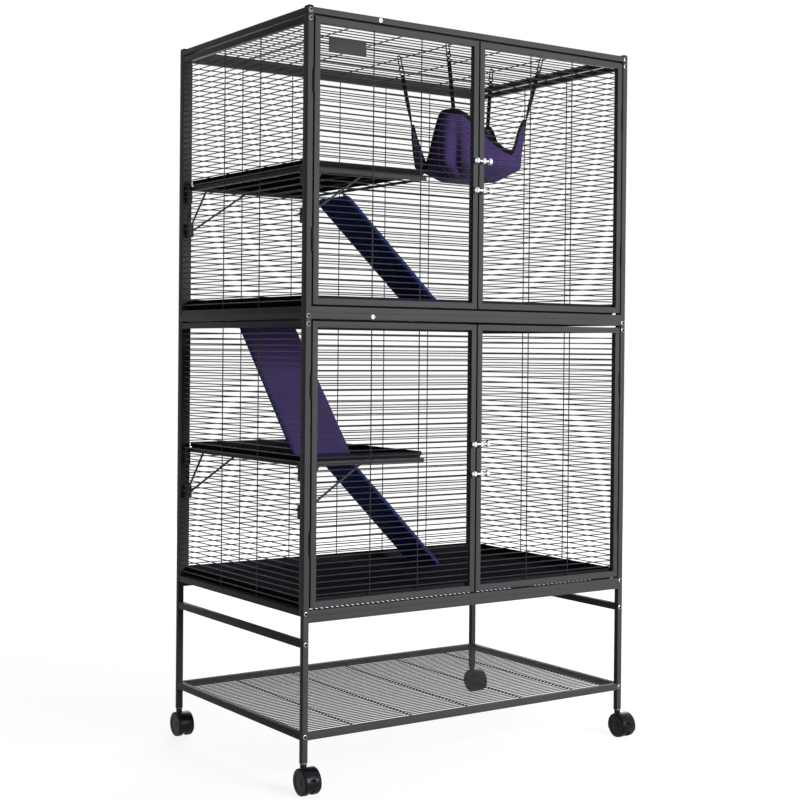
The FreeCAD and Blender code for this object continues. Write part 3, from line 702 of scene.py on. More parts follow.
def placeScrews():
    legLow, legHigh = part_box("stand_legs")
    topLow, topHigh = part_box("top_frame")
    midLow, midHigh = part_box("middle_ring_frame")
    shelfLow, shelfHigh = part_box("storage_shelf_frame")
    tube = topHigh.z - topLow.z
    below = screwPlan["frameGap"] + tube / 2
    top, middle = (topLow.z + topHigh.z) / 2, (midLow.z + midHigh.z) / 2
    levels = [top, middle, topLow.z - below, midLow.z - below, legHigh.z + tube / 2,
              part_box("stand_rails")[0].z + screwPlan["railRise"], (shelfLow.z + shelfHigh.z) / 2]
    for end, y, turn in (("front", legLow.y, math.pi / 2), ("back", legHigh.y, -math.pi / 2)):
        points = [(x, y, z) for x in (legLow.x + tube / 2, legHigh.x - tube / 2) for z in levels]
        screwRow(end + "Screws", points, turn, "post")
        # bright rings under the heads: painted highlights
        screwRow(end + "Washers", points, turn, "ringHighlight")
    rail = [(screwPlan["topRailAt"], legLow.y, top), (screwPlan["middleRailAt"], legLow.y, middle)]
    screwRow("railScrews", rail, math.pi / 2, "rail")


placeScrews()


# dark strip behind the top front rail, standing as a lip that the upper doors close against, and painted in the
# darkest coat as shade that fills the gap above the doors

gapShade = {"thick": 0.0012, "below": 0.0068, "above": 0.003, "lip": 0.0004, "clear": 0.0003, "sunk": 0.0003}


def doorStop():
    low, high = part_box("top_frame")
    tube = high.z - low.z
    rail = low.y + tube
    foot, lip, head = low.z - gapShade["below"], low.z + gapShade["lip"], low.z + gapShade["above"]
    back, outer, inner = rail + gapShade["thick"], rail + gapShade["clear"], rail - gapShade["clear"]
    section = [(back, foot), (outer, foot), (outer, lip), (inner, lip), (inner, head), (back, head)]
    work = bmesh.new()
    left, right = [[work.verts.new((x, y, z)) for y, z in section]
                   for x in (low.x + tube - gapShade["sunk"], high.x - tube + gapShade["sunk"])]
    for k in range(len(section)):
        work.faces.new((left[k - 1], left[k], right[k], right[k - 1]))
    work.faces.new(left)
    work.faces.new(right)
    piece = addObject("doorStop", outwardMesh("doorStop", work))
    # the darkest coat, not the frame's, so the gap above the doors reads as painted shade
    painted(piece.data, "wireCoat")
    placed(piece, bodyOf["top_frame"], "powder_coat")


doorStop()
print("screws and stop strip")


# turned pieces

def lathed(outline, steps, centre, hollow=False):
    # solid turned about the X axis from (radius, x) pairs; a hollow one's outline runs back to its start
    work = bmesh.new()
    turns = [2 * math.pi * i / steps for i in range(steps)]
    rings = []
    for radius, x in outline:
        spots = [Vector((x, radius * math.cos(turn), radius * math.sin(turn))) for turn in turns]
        rings.append([work.verts.new(centre + spot) for spot in (spots if radius else spots[:1])])
    for first, second in zip(rings, rings[1:] + (rings[:1] if hollow else [])):
        for i in range(steps):
            j = (i + 1) % steps
            corners = [ring[k % len(ring)] for ring, k in ((first, i), (first, j), (second, j), (second, i))]
            work.faces.new(list(dict.fromkeys(corners)))
    bmesh.ops.recalc_face_normals(work, faces=work.faces)
    return work


def roundedRim(outer, low, high, curve, steps):
    # rounded rim from a low face to a high one, as (radius, x) pairs
    points = []
    for middle, start in ((low + curve, -math.pi / 2), (high - curve, 0.0)):
        for k in range(steps + 1):
            turn = start + math.pi / 2 * k / steps
            points.append((outer - curve + curve * math.cos(turn), middle + curve * math.sin(turn)))
    return points


latch = {
    "steps": 40, "sharp": 40,
    "knobRound": 0.0044, "knobSteps": 6, "knobFrom": 1.3,
    # points of the bolt's tip: how far in from the shank's side, and how far along from its end
    "tip": ((0.0009, 0.0), (0.0002, 0.0004), (0.0, 0.0012)),
    "tipReach": 0.001,
    "eyeRound": 0.0024, "eyeSteps": 5, "eyeSlim": 0.0015, "eyeEdge": 0.0004,
    "keeperHole": 0.0040, "guideHole": 0.0031,
    "neck": 0.0024, "neckSlim": 0.001, "neckIn": 0.0012,
}


def latchEyePiece(node):
    # bright eyes on their necks, which the latch bolts pass through
    hole = latch["keeperHole"] if "_left_" in node else latch["guideHole"]
    edge = latch["eyeEdge"]
    works = []
    for shell in latchEyes[node]:
        low, high = corners3(cornersOf(shell))
        radius = (high.z - low.z) / 2
        centre = Vector(((low.x + high.x) / 2, low.y + radius, (low.z + high.z) / 2))
        half = (high.x - low.x) / 2 - latch["eyeSlim"]
        outline = [(hole, edge - half), (hole + edge, -half)]
        outline += roundedRim(radius, -half, half, latch["eyeRound"], latch["eyeSteps"])
        outline += [(hole + edge, half), (hole, half - edge)]
        works.append(lathed(outline, latch["steps"], centre, hollow=True))
        neck = bmesh.new()
        bmesh.ops.create_cube(neck, size=1.0)
        reach = high.y - centre.y - hole - latch["neckIn"]
        size = (2 * (half - latch["neckSlim"]), reach, 2 * latch["neck"])
        bmesh.ops.scale(neck, vec=size, verts=neck.verts)
        bmesh.ops.translate(neck, vec=(centre.x, high.y - reach / 2, centre.z), verts=neck.verts)
        works.append(neck)
    piece = addObject(node + "_eyes", joinMeshes(node + "_eyes", works))
    smoothed(piece.data, latch["sharp"])
    painted(piece.data, "brightChrome")
    placed(piece, bodyOf[node], "bright_chrome")


def latchBolt(node):
    # shank with a worn tip and a rounded knob
    low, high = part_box(node)
    centre = Vector((0, (low.y + high.y) / 2, (low.z + high.z) / 2))
    reaches = [(spot.x, math.hypot(spot.y - centre.y, spot.z - centre.z))
               for shell in solidsOf(node) for spot in cornersOf(shell)]
    shank = max(reach for x, reach in reaches if x < low.x + latch["tipReach"])
    start = min(x for x, reach in reaches if reach > shank * latch["knobFrom"])
    outline = [(0, low.x)] + [(shank - inward, low.x + along) for inward, along in latch["tip"]]
    outline.append((shank, start))
    outline += roundedRim((high.z - low.z) / 2, start, high.x, latch["knobRound"], latch["knobSteps"])
    outline.append((0, high.x))
    piece = addObject(node + "_turned", outwardMesh(node, lathed(outline, latch["steps"], centre)))
    smoothed(piece.data, latch["sharp"])
    painted(piece.data, "brightChrome")
    placed(piece, bodyOf[node], "bright_chrome", node)


for node in latchEyes:
    latchEyePiece(node)
for node in [node for node in nodes if node.endswith("latch_bolt")]:
    latchBolt(node)
print("latches")


# how far in from the wheel's radius each point lies, and how far in from its inner or its outer face
wheel = {
    "long": 0.014, "steps": 64, "sharp": 32,
    "innerEdge": ((0.004, 0.0), (0.001, 0.0005), (0.0, 0.002)),
    "outerEdge": ((0.0, 0.006), (0.0012, 0.0055), (0.0012, 0.0048), (0.0, 0.0043), (0.0002, 0.0022),
                  (0.00077, 0.00077), (0.0022, 0.0)),
    # radius, and how far in from the outer face
    "face": ((0.0195, 0.0001), (0.0185, 0.0012), (0.0085, 0.00096),
             (0.0075, 0.0003), (0.0055, 0.00018), (0.0, 0.00012)),
    "axle": 0.003, "axleIn": 0.001, "axleSteps": 24,
}


def wheelPair(node):
    # two wheels, each with a groove in its tread and a dished face, on one axle
    low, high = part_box(node)
    centre = (low + high) / 2
    radius = (high.z - low.z) / 2
    reach = (high.x - low.x) / 2
    inner = reach - wheel["long"]
    outline = [(0, inner)] + [(radius - inward, inner + along) for inward, along in wheel["innerEdge"]]
    outline += [(radius - inward, reach - along) for inward, along in wheel["outerEdge"]]
    outline += [(wide, reach - along) for wide, along in wheel["face"]]
    works = [lathed([(wide, side * x) for wide, x in outline], wheel["steps"], centre) for side in (-1, 1)]
    end = inner + wheel["axleIn"]
    axle = [(0, -end), (wheel["axle"], -end), (wheel["axle"], end), (0, end)]
    works.append(lathed(axle, wheel["axleSteps"], centre))
    piece = addObject(node + "_turned", joinMeshes(node, works))
    smoothed(piece.data, wheel["sharp"])
    painted(piece.data, "wheelPlastic")
    placed(piece, bodyOf[node], "wheel_plastic", node)


for node in [node for node in nodes if slotOf[node] == "wheel_plastic"]:
    wheelPair(node)
print("casters")


# padded sleeves of the ramps

ramp = {
    "pad": 0.014, "rise": 0.0047, "length": 0.411, "start": 0.020, "half": 0.070,
    "rows": 96, "around": 72, "endRows": 0.55, "sharp": 60,
    "squareAcross": 9, "squareUp": 2.6, "endTaper": 26, "endThick": 0.72, "endPull": 0.006,
    "crown": 0.0008, "underSoft": -0.25,
    "lumps": (16, 22, 0.0011), "wrinkles": (55, 60, 0.00035), "sway": (12, 0.004),
    "edgeTurn": 0.26, "pipingTurn": 0.24, "piping": 0.0011, "pipingSides": 6,
    "stitchTurn": 0.62, "stitchIn": 0.004, "stitchLift": 0.0006, "stitchPoints": 30, "endIn": 3,
    "stitch": {"Spacing": 0.005, "Length": 0.0034, "Thickness": 0.00045},
    "seeds": {"upper": 1.0, "middle": 4.7, "lower": 8.4},
}


def rampPose(name):
    # hinge point and slope of a ramp, from its joint and its lowest point
    joint = joints[name + "_ramp_lift"]
    hinge = Vector(joint["pos_m"])
    drop = hinge.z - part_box(name + "_ramp_cover")[0].z
    sole = ramp["pad"] / 2 - ramp["rise"]
    slope = math.asin(drop / math.hypot(ramp["length"], sole)) - math.atan2(sole, ramp["length"])
    heading = -math.pi / 2 if abs(joint["axis"][0]) > 0.5 else 0.0
    return Matrix.Translation(hinge) @ Matrix.Rotation(heading, 4, "Z") @ Matrix.Rotation(slope, 4, "Y")


def sleevePoint(along, turn, seed):
    # point on the padded sleeve: along its length, turn round its section
    y = bowed(math.cos(turn), 2 / ramp["squareAcross"]) * ramp["half"]
    z = bowed(math.sin(turn), 2 / ramp["squareUp"]) * ramp["pad"] / 2
    share = (along - ramp["start"]) / (ramp["length"] - ramp["start"])
    taper = min(1.0, share * ramp["endTaper"], (1 - share) * ramp["endTaper"])
    full = math.sqrt(max(0.0, 1 - (1 - taper) ** 2)) if taper < 1 else 1.0
    swell = ramp["crown"] * (1 - (y / ramp["half"]) ** 4)
    for (lengthways, across, depth), shift in ((ramp["lumps"], 0), (ramp["wrinkles"], 7)):
        swell += noise.noise(Vector((along * lengthways, y * across, seed + shift))) * depth
    z = z * (ramp["endThick"] + (1 - ramp["endThick"]) * full) + swell * (1 if z > 0 else ramp["underSoft"])
    pace, depth = ramp["sway"]
    pull = 1 - ramp["endPull"] * (1 - full) + depth * noise.noise(Vector((along * pace, seed, 3)))
    return Vector((along, y * pull, ramp["rise"] + z))


def sleeveRows():
    # places along the ramp, closer together near its two ends
    rows = []
    for i in range(ramp["rows"] + 1):
        share = i / ramp["rows"]
        eased = share - math.sin(4 * math.pi * share) / (4 * math.pi) * ramp["endRows"]
        rows.append(ramp["start"] + (ramp["length"] - ramp["start"]) * eased)
    return rows


def sleeveSide(turn):
    # 0 for the top of the sleeve, 1 for its edges and 2 for its underside
    if ramp["edgeTurn"] < turn < math.pi - ramp["edgeTurn"]:
        return 0
    return 2 if math.pi + ramp["edgeTurn"] < turn < 2 * math.pi - ramp["edgeTurn"] else 1


def rampSleeve(name, seed):
    pose = rampPose(name)
    rows, around = sleeveRows(), ramp["around"]
    work = bmesh.new()
    layer = work.loops.layers.uv.new("cloth")
    points = [[sleevePoint(along, 2 * math.pi * j / around, seed) for j in range(around)] for along in rows]
    verts = [[work.verts.new(pose @ point) for point in row] for row in points]
    for i in range(ramp["rows"]):
        for j in range(around):
            k = (j + 1) % around
            cells = ((i, j), (i, k), (i + 1, k), (i + 1, j))
            face = work.faces.new([verts[row][col] for row, col in cells])
            face.material_index = sleeveSide(2 * math.pi * (j + 0.5) / around)
            for loop, (row, col) in zip(face.loops, cells):
                point = points[row][col]
                loop[layer].uv = (point.x, point.y + (point.z if face.material_index == 1 else 0))
    for row, order in ((0, 1), (-1, -1)):
        face = work.faces.new(verts[row][::order])
        face.material_index = 1
        for loop in face.loops:
            local = pose.inverted() @ loop.vert.co
            loop[layer].uv = (local.y, local.z)
    piece = addObject(name + "Sleeve", outwardMesh(name + "Sleeve", work))
    painted(piece.data, "purpleCloth", "royalCloth", "navyCloth")
    smoothed(piece.data, ramp["sharp"])
    placed(piece, name + "_ramp", "purple_fabric", name + "_ramp_cover")


def sleeveSewing(name, seed):
    # piping along the four long edges, and a row of stitches round the top
    pose = rampPose(name)
    rows = sleeveRows()[ramp["endIn"]:-ramp["endIn"]]
    piped, first = ramp["pipingTurn"], ramp["stitchTurn"]
    last = math.pi - first
    edgeTurns = (piped, math.pi - piped, math.pi + piped, 2 * math.pi - piped)
    seams = [[pose @ sleevePoint(along, turn, seed) for along in rows] for turn in edgeTurns]
    piping = roundWires(name + "Piping", seams, ramp["piping"], ramp["pipingSides"], "royalCloth")
    placed(piping, name + "_ramp", "purple_fabric")
    steps = ramp["stitchPoints"]
    paths = [[(along, turn) for along in rows] for turn in (first, last)]
    for along in (rows[0] + ramp["stitchIn"], rows[-1] - ramp["stitchIn"]):
        paths.append([(along, first + (last - first) * k / steps) for k in range(steps + 1)])
    lift = Vector((0, 0, ramp["stitchLift"]))
    stitches = [[pose @ (sleevePoint(along, turn, seed) + lift) for along, turn in path] for path in paths]
    values = dict(ramp["stitch"], Material=paints["purpleThread"])
    sewn = grown(name + "Stitches", lineMesh(name + "Stitches", stitches), "stitch", values)
    placed(sewn, name + "_ramp", "purple_fabric")


for name, seed in ramp["seeds"].items():
    rampSleeve(name, seed)
    sleeveSewing(name, seed)
print("ramp sleeves")


# hammock: its bed of cloth, tape, seams and straps

bed = {
    "reach": 0.985, "sides": 240, "rings": 44, "fine": 2000, "foot": 0.002,
    # section of a wall: where the floor ends and the knee stands, as shares of the way out, and their heights
    "floorAt": 0.50, "floorRise": 0.0006, "kneeAt": 0.965, "knee": 0.030, "kneeMost": 0.98, "wallFull": 0.03,
    "soft": 0.011, "softLess": 0.4, "rimEase": 3, "tabReach": 0.045,
    "fold": 0.00096, "folds": ((95, 1.7, 0, 1.0), (210, 2.9, 3, 0.6)), "foldFade": 0.35,
    "ripple": (30, 18, 0.0012), "sag": (25, 0.0012),
    "cloth": 0.0016, "sharp": 70,
}
# the corners from the back right one round by the left: how square each is,
# and how far its root and its tip are drawn
tabs = [
    {"square": 4.6, "root": (0.0, 0.0), "tip": (0.010, -0.010, 0.0)},
    {"square": 4.6, "root": (0.0, 0.0), "tip": (0.0, 0.008, 0.0)},
    {"square": 4.6, "root": (0.0, 0.0), "tip": (-0.006, -0.010, 0.0)},
    {"square": 9.0, "root": (-0.009, 0.004), "tip": (0.011, 0.002, -0.003)},
]
# the sides after those corners: where the edge is lowest, how low, its swell, and for either end
# where the fall starts and ends, as shares of the way to the low point, and how it bends
dips = [
    {"at": 0.60, "low": 0.030, "swell": 0.004, "falls": ((0.0, 1.0, 0.8), (0.0, 1.0, 0.62))},
    {"at": 0.36, "low": 0.026, "swell": 0.005, "falls": ((0.0, 1.0, 0.55), (0.22, 0.84, 1.15))},
    {"at": 0.77, "low": 0.070, "swell": 0.003, "falls": ((0.0, 1.0, 0.95), (0.26, 1.0, 0.95))},
    {"at": 0.45, "low": 0.028, "swell": 0.006, "falls": ((0.05, 1.0, 0.6), (0.0, 1.0, 1.0))},
]
# valleys in the cloth, or ridges where the depth is negative:
# corner, place along the edge from it, half width, depth
creases = [
    (2, 0.002, 0.012, 0.020), (2, -0.022, 0.012, -0.003), (2, 0.034, 0.012, -0.003),
    (3, -0.030, 0.012, 0.003), (1, -0.014, 0.010, 0.003),
]


def eased(values, reach):
    # each value of a closed row as the mean of its neighbours on both sides
    count = len(values)
    spread = range(-reach, reach + 1)
    return [sum(values[(i + shift) % count] for shift in spread) / len(spread) for i in range(count)]


def bedOutline(low, high):
    # plan of the bed's edge, a square with round corners, from the back right corner round by the left
    fine = bed["fine"]
    a, b = ((high[i] - low[i]) / 2 * bed["reach"] for i in range(2))
    outline = []
    for i in range(fine + 1):
        place = i + fine // 8
        turn = 2 * math.pi * place / fine
        power = 2 / tabs[place // (fine // 4) % 4]["square"]
        outline.append(Vector((bowed(math.cos(turn), power) * a, bowed(math.sin(turn), power) * b)))
    return outline


def rimTrack():
    # plan of the bed's edge in even steps, and for each step how high the edge stands
    low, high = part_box("hammock_bed")
    outline = bedOutline(low, high)
    run = runAlong(outline)
    total = run[-1]
    corners = run[::bed["fine"] // 4]
    tall = high.z - low.z - bed["foot"]
    track, k = [], 0
    for i in range(bed["sides"]):
        want = total * i / bed["sides"]
        while run[k + 1] < want:
            k += 1
        share = (want - run[k]) / (run[k + 1] - run[k])
        side = max(q for q in range(4) if corners[q] <= want + 1e-9)
        along = between((want - corners[side]) / (corners[side + 1] - corners[side]))
        dip = dips[side]
        first = along < dip["at"]
        away = along / dip["at"] if first else (1 - along) / (1 - dip["at"])
        start, end, bend = dip["falls"][0 if first else 1]
        fall = between((away - start) / (end - start)) ** bend
        arch = 0.5 + 0.5 * math.cos(math.pi * fall)
        track.append({
            "spot": outline[k].lerp(outline[k + 1], share),
            "arch": arch, "rim": dip["low"] + (tall - dip["low"]) * arch,
            "corner": side if first else (side + 1) % 4,
            "swell": dip["swell"] * math.sin(math.pi * along) ** 2,
            "gaps": [(want - corners[q] + total / 2) % total - total / 2 for q in range(4)],
        })
    for data, rim in zip(track, eased([data["rim"] for data in track], bed["rimEase"])):
        data["rim"] = rim
    return track


def bentLine(points, share, soft):
    # point on a run of straight lines, with its bends eased over a length
    runs = [(second - first).length for first, second in zip(points, points[1:])]
    total = sum(runs)
    want = total * share
    reach = min(soft, want, total - want)
    spot = Vector((0, 0))
    for step in range(-3, 4):
        left = between(want + reach * step / 3, 0, total)
        for first, second, run in zip(points, points[1:], runs):
            if left <= run + 1e-9:
                break
            left -= run
        spot += first.lerp(second, min(1, left / run))
    return spot / 7


def clothPush(data, out, lift):
    # how far the cloth stands out from its plain form: swell, creases and folds
    push = data["swell"] * out ** 2
    for corner, place, width, depth in creases:
        near = math.exp(-((data["gaps"][corner] - place) / width) ** 2)
        push -= depth * near * min(1.0, lift * 5) * (1.1 - lift)
    corner = data["corner"]
    gap = data["gaps"][corner]
    wave = 0.0
    for pace, shift, lean, size in bed["folds"]:
        wave += size * math.sin(gap * pace + corner * shift + lift * lean)
    return push + bed["fold"] * wave * lift ** 0.6 * (1 - bed["foldFade"] * lift)


def clothPoint(data, share, low, high):
    # point of the cloth on one line from the middle of the floor, at a share 0, to the rim, at 1
    spot, rim = data["spot"], data["rim"]
    reach = spot.length
    knee = min(bed["knee"], rim * bed["kneeMost"])
    kneeAt = 1 + (bed["kneeAt"] - 1) * between((rim - knee) / bed["wallFull"])
    section = [(0, 0), (bed["floorAt"] * reach, bed["floorRise"]), (kneeAt * reach, knee), (reach, rim)]
    soft = bed["soft"] * (1 - bed["softLess"] * data["arch"])
    out, rise = bentLine([Vector(point) for point in section], share, soft)
    out /= reach
    lift = rise / (high.z - low.z)
    x, y, z = spot.x * out, spot.y * out, rise
    for tab, gap in zip(tabs, data["gaps"]):
        near = math.exp(-(gap / bed["tabReach"]) ** 2)
        drawn = near * max(0.0, lift) ** 1.5
        x += tab["root"][0] * near * out ** 2 + tab["tip"][0] * drawn
        y += tab["root"][1] * near * out ** 2 + tab["tip"][1] * drawn
        z += tab["tip"][2] * drawn
    pace, rate, depth = bed["ripple"]
    push = clothPush(data, out, lift) + depth * noise.noise(Vector((x * pace, y * pace, z * rate))) * out
    x += spot.x / reach * push
    y += spot.y / reach * push
    pace, depth = bed["sag"]
    z += depth * noise.noise(Vector((x * pace, y * pace, 5.0))) * (1 - lift)
    middle = (low + high) / 2
    return Vector((middle.x + x, middle.y + y, low.z + bed["foot"] + z))


def hammockCloth():
    # the sheet as one disc of lines from its middle, with the lengths along them, which lay it out flat
    low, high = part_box("hammock_bed")
    track = rimTrack()
    count, rings = bed["sides"], bed["rings"]
    columns = [[clothPoint(data, k / rings, low, high) for k in range(rings + 1)] for data in track]
    lengths = [runAlong(column) for column in columns]
    flat = [[data["spot"].normalized() * length for length in run] for data, run in zip(track, lengths)]
    work = bmesh.new()
    layer = work.loops.layers.uv.new("cloth")
    centre = work.verts.new(columns[0][0])
    verts = [[centre] + [work.verts.new(point) for point in column[1:]] for column in columns]
    for i in range(count):
        j = (i + 1) % count
        for k in range(rings):
            cells = ((i, k), (i, k + 1), (j, k + 1), (j, k)) if k else ((i, 0), (i, 1), (j, 1))
            face = work.faces.new([verts[a][b] for a, b in cells])
            for loop, (a, b) in zip(face.loops, cells):
                loop[layer].uv = flat[a][b]
    mesh = outwardMesh("hammockCloth", work)
    area = sum(face.area for face in mesh.polygons)
    if sum(face.normal.z * face.area for face in mesh.polygons) > 0:
        mesh.flip_normals()
    painted(mesh, "purpleCloth", "paleCloth")
    cloth = addObject("hammockCloth", mesh)
    thick = cloth.modifiers.new("thickness", "SOLIDIFY")
    thick.thickness = bed["cloth"]
    thick.offset = -1
    thick.material_offset = 1
    thick.material_offset_rim = 1
    settled(cloth)
    smoothed(cloth.data, bed["sharp"])
    placed(cloth, "cage", "purple_fabric", "hammock_bed")
    edge = [run[-1] for run in flat]
    width, length = (max(spot[i] for spot in edge) - min(spot[i] for spot in edge) for i in range(2))
    print("hammock cut:", round(width, 3), round(length, 3), "area", round(area, 4))
    tips = [min(range(count), key=lambda i: abs(track[i]["gaps"][q])) for q in range(4)]
    return cloth, columns, lengths, area, (width, length), tips


tape = {
    "wide": 0.0092, "thick": 0.0038, "over": 0.0008, "mostShare": 0.3, "slantLeast": 0.35, "slantBack": 3,
    "slantEase": 4, "rows": (0, 0.2, 0.5, 0.8, 1), "round": 0.0008, "sharp": 60,
}


def hammockTape(columns, lengths):
    # folded tape over the bed's edge, as wide where the lines of the cloth meet the edge at a slant
    count, bands = len(columns), len(tape["rows"]) - 1
    slants, rows = [], []
    for i, column in enumerate(columns):
        edge = (columns[(i + 1) % count][-1] - columns[i - 1][-1]).normalized()
        back = (column[-1] - column[-1 - tape["slantBack"]]).normalized()
        slants.append(max(tape["slantLeast"], edge.cross(back).length))
    for column, run, slant in zip(columns, lengths, eased(slants, tape["slantEase"])):
        want = run[-1] - min(tape["wide"] / slant, run[-1] * tape["mostShare"])
        k = max(i for i, length in enumerate(run) if length <= want)
        inner = column[k].lerp(column[k + 1], (want - run[k]) / (run[k + 1] - run[k]))
        top = column[-1] + (column[-1] - column[-2]).normalized() * tape["over"]
        rows.append([inner.lerp(top, share) for share in tape["rows"]])
    work = bmesh.new()
    layer = work.loops.layers.uv.new("cloth")
    verts = [[work.verts.new(point) for point in row] for row in rows]
    along = 0.0
    for i in range(count):
        j = (i + 1) % count
        end = along + (rows[j][-1] - rows[i][-1]).length
        for k in range(bands):
            face = work.faces.new((verts[i][k], verts[i][k + 1], verts[j][k + 1], verts[j][k]))
            for loop, (u, v) in zip(face.loops, ((along, k), (along, k + 1), (end, k + 1), (end, k))):
                loop[layer].uv = (u, v * tape["wide"] / bands)
        along = end
    piece = addObject("hammockTape", outwardMesh("hammockTape", work))
    thick = piece.modifiers.new("thickness", "SOLIDIFY")
    thick.thickness = tape["thick"]
    thick.offset = 0
    bevel = piece.modifiers.new("rounding", "BEVEL")
    bevel.width = tape["round"]
    bevel.segments = 2
    bevel.limit_method = "ANGLE"
    settled(piece)
    smoothed(piece.data, tape["sharp"])
    painted(piece.data, "blackWebbing")
    return placed(piece, "cage", "black_webbing")


def bandMesh(work, layer, path, width, thick, across):
    # flat band with rounded edges along a path; across is the way of its width, or a list of one per point
    wide, deep, cut, flank = width / 2, thick / 2, thick * 0.3, thick * 0.2
    lower = [(-wide, -flank), (cut - wide, -deep), (wide - cut, -deep), (wide, -flank)]
    section = lower + [(-u, -v) for u, v in lower]
    count = len(section)
    rings = []
    for i, (point, start) in enumerate(zip(path, runAlong(path))):
        ahead = (path[min(i + 1, len(path) - 1)] - path[max(i - 1, 0)]).normalized()
        side = across[i] if isinstance(across, list) else across
        side = (side - ahead * side.dot(ahead)).normalized()
        face = ahead.cross(side)
        rings.append((start, [work.verts.new(point + side * u + face * v) for u, v in section]))
    for (start, first), (end, second) in zip(rings, rings[1:]):
        for k in range(count):
            n = (k + 1) % count
            face = work.faces.new((first[k], first[n], second[n], second[k]))
            near, far = section[k][0], section[n][0]
            for loop, uv in zip(face.loops, ((start, near), (start, far), (end, far), (end, near))):
                loop[layer].uv = uv
    work.faces.new(rings[0][1][::-1])
    work.faces.new(rings[-1][1])


def ringMesh(work, centre, axis, side, wide, thick, stretch):
    # closed eye of round section; stretch lengthens it across the side direction
    other = axis.cross(side)
    steps, around = 28, 10
    verts = []
    for i in range(steps):
        a = 2 * math.pi * i / steps
        middle = centre + (side * math.cos(a) + other * math.sin(a) * stretch) * wide
        out = (side * math.cos(a) + other * math.sin(a)).normalized()
        turns = [2 * math.pi * j / around for j in range(around)]
        spots = [middle + (out * math.cos(b) + axis * math.sin(b)) * thick for b in turns]
        verts.append([work.verts.new(spot) for spot in spots])
    for i in range(steps):
        row, after = verts[i - 1], verts[i]
        for j in range(around):
            work.faces.new((row[j - 1], after[j - 1], after[j], row[j]))


strap = {
    "width": 0.0092, "thick": 0.0022, "sewn": 0.008, "sewnOut": 0.0026, "footDown": 0.002, "footOut": 0.0012,
    "startOut": 0.001, "headIn": (0.004, 0.003), "wire": 0.0012, "slant": 0.8, "sharp": 50,
    "facing": (0.82, -0.57, 0.0),
    # shares of the way from foot to clasp, and how far the band has turned there to face the clasp's way
    "turns": ((0.1, 0.25), (0.25, 0.5), (0.4, 0.8), (0.6, 1), (0.8, 1), (1, 1)),
    "cord": 0.0026, "cordGap": 0.0076, "cordFlat": 0.8, "loopFlat": 0.7, "loopGap": 0.42, "loopRise": 0.0022,
    "loopSteps": 8,
    # the clasp's middle as a share of the way up, and its eyes: place along it, size, thickness, stretch
    "claspAt": 0.79, "claspLong": 0.020,
    "eyes": ((0.25, 0.0046, 0.0016, 1.2), (-0.34, 0.0052, 0.0015, 0.62)), "body": (-0.26, -0.05, 0.06),
    "bodyWide": 0.0066, "bodyThick": 0.0046,
}


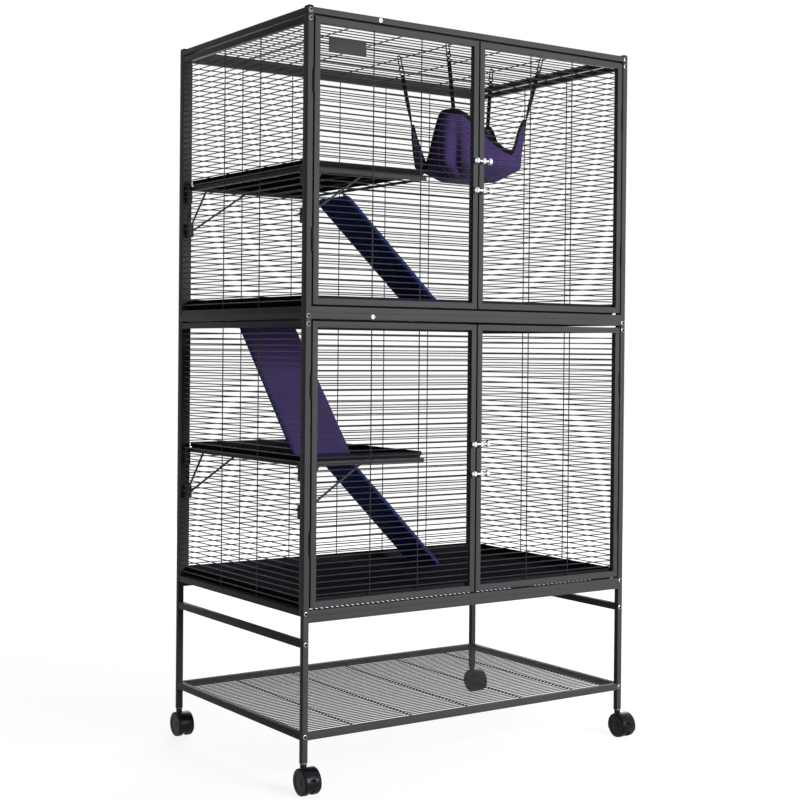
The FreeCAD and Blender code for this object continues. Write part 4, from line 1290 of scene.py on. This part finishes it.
def hammockStraps(columns, tips):
    # from each tab of the bed a webbing strap, a clasp and two cords over a wire of the top
    low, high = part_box("hammock_straps")
    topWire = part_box("top_wires")[1].z - strap["wire"]
    bands, clasps = bmesh.new(), bmesh.new()
    layer, claspLayer = (work.loops.layers.uv.new("cloth") for work in (bands, clasps))
    across = Vector(strap["facing"])
    gap, cordWide = strap["cordGap"], strap["cord"]
    inX, inY = strap["headIn"]
    for (i, j), tip in zip(((1, 1), (-1, 1), (-1, -1), (1, -1)), tips):
        edge = columns[tip]
        outward = Vector((i, j * strap["slant"], 0)).normalized()
        foot = edge[-1] - Vector((0, 0, strap["footDown"])) + outward * strap["footOut"]
        headX = high.x - inX if i > 0 else low.x + inX
        headY = high.y - inY if j > 0 else low.y + inY
        head = Vector((headX, headY, topWire))
        way = (head - foot).normalized()
        flat = Vector((-outward.y, outward.x, 0))
        if flat.dot(across) < 0:
            flat.negate()
        clasp = foot.lerp(head, strap["claspAt"])
        along = way * strap["claspLong"]
        start = clasp - along / 2
        under = max(k for k in range(len(edge)) if (edge[-1] - edge[k]).length >= strap["sewn"])
        path = [edge[k] + outward * strap["sewnOut"] for k in range(under, len(edge) - 1, 2)]
        path.append(foot + outward * strap["startOut"])
        facing = [flat] * len(path) + [flat.lerp(across, turned) for _, turned in strap["turns"]]
        path += [foot.lerp(start, share) for share, _ in strap["turns"]]
        bandMesh(bands, layer, path, strap["width"], strap["thick"], facing)
        for side in (-1, 1):
            shift = across * side * gap / 2
            cord = [clasp + along * 0.3 + shift * 0.6, clasp.lerp(head, 0.4) + shift, head + shift * 0.8]
            bandMesh(bands, layer, cord, cordWide, cordWide * strap["cordFlat"], across)
        face = across.cross(way).normalized()
        over = []
        for k in range(strap["loopSteps"] + 1):
            a = math.pi * k / strap["loopSteps"]
            lift = Vector((0, 0, math.sin(a) * strap["loopRise"]))
            over.append(head + across * math.cos(a) * gap * strap["loopGap"] + lift)
        bandMesh(bands, layer, over, cordWide, cordWide * strap["loopFlat"], face)
        for place, wide, thick, stretch in strap["eyes"]:
            ringMesh(clasps, clasp + along * place, face, across, wide, thick, stretch)
        body = [clasp + along * place for place in strap["body"]]
        bandMesh(clasps, claspLayer, body, strap["bodyWide"], strap["bodyThick"], across)
    for name, work, paint, replaced in (("hammockWebbing", bands, "blackWebbing", ["hammock_straps"]),
                                        ("hammockClasps", clasps, "casterPlastic", [])):
        piece = addObject(name, outwardMesh(name, work))
        painted(piece.data, paint)
        smoothed(piece.data, strap["sharp"])
        placed(piece, "cage", "black_webbing", *replaced)


# the seams: how many lines beside the tips they run; the slanting one's start beside the fourth tip,
# its foot and its rise as shares of a line, and its steps
seam = {
    "radius": 0.0008, "sides": 6, "out": 0.0009, "down": -0.02,
    "beside": (-10, 9, -12), "slantFrom": 22, "slantFoot": 0.36, "slantRise": 0.36, "slantSteps": 24,
}


def hammockSeams(columns, tips):
    # seams from the bed's floor towards the tabs, and a slanting one under the front right tab
    count, rings = bed["sides"], bed["rings"]
    middle = sum((column[0] for column in columns), Vector()) / count

    def outer(column, k):
        first, second = columns[math.floor(column) % count], columns[math.ceil(column) % count]
        spot = first[round(k)].lerp(second[round(k)], column - math.floor(column))
        way = Vector((spot.x - middle.x, spot.y - middle.y, seam["down"])).normalized()
        return spot + way * seam["out"]

    lines = []
    for tip, shift in zip(tips, seam["beside"]):
        lines.append([outer(tip + shift, k) for k in range(rings // 3, rings - 2)])
    slant, steps = [], seam["slantSteps"]
    for t in range(steps + 1):
        column = tips[3] - seam["slantFrom"] * (1 - t / steps)
        slant.append(outer(column, rings * (seam["slantFoot"] + seam["slantRise"] * t / steps)))
    lines.append(slant)
    piece = roundWires("hammockSeams", lines, seam["radius"], seam["sides"], "paleCloth")
    return placed(piece, "cage", "purple_fabric")


cloth, columns, lengths, clothArea, clothFlat, tips = hammockCloth()
edging = hammockTape(columns, lengths)
seams = hammockSeams(columns, tips)
hammockStraps(columns, tips)
print("hammock")


bpy.context.view_layer.update()
print("pieces done")
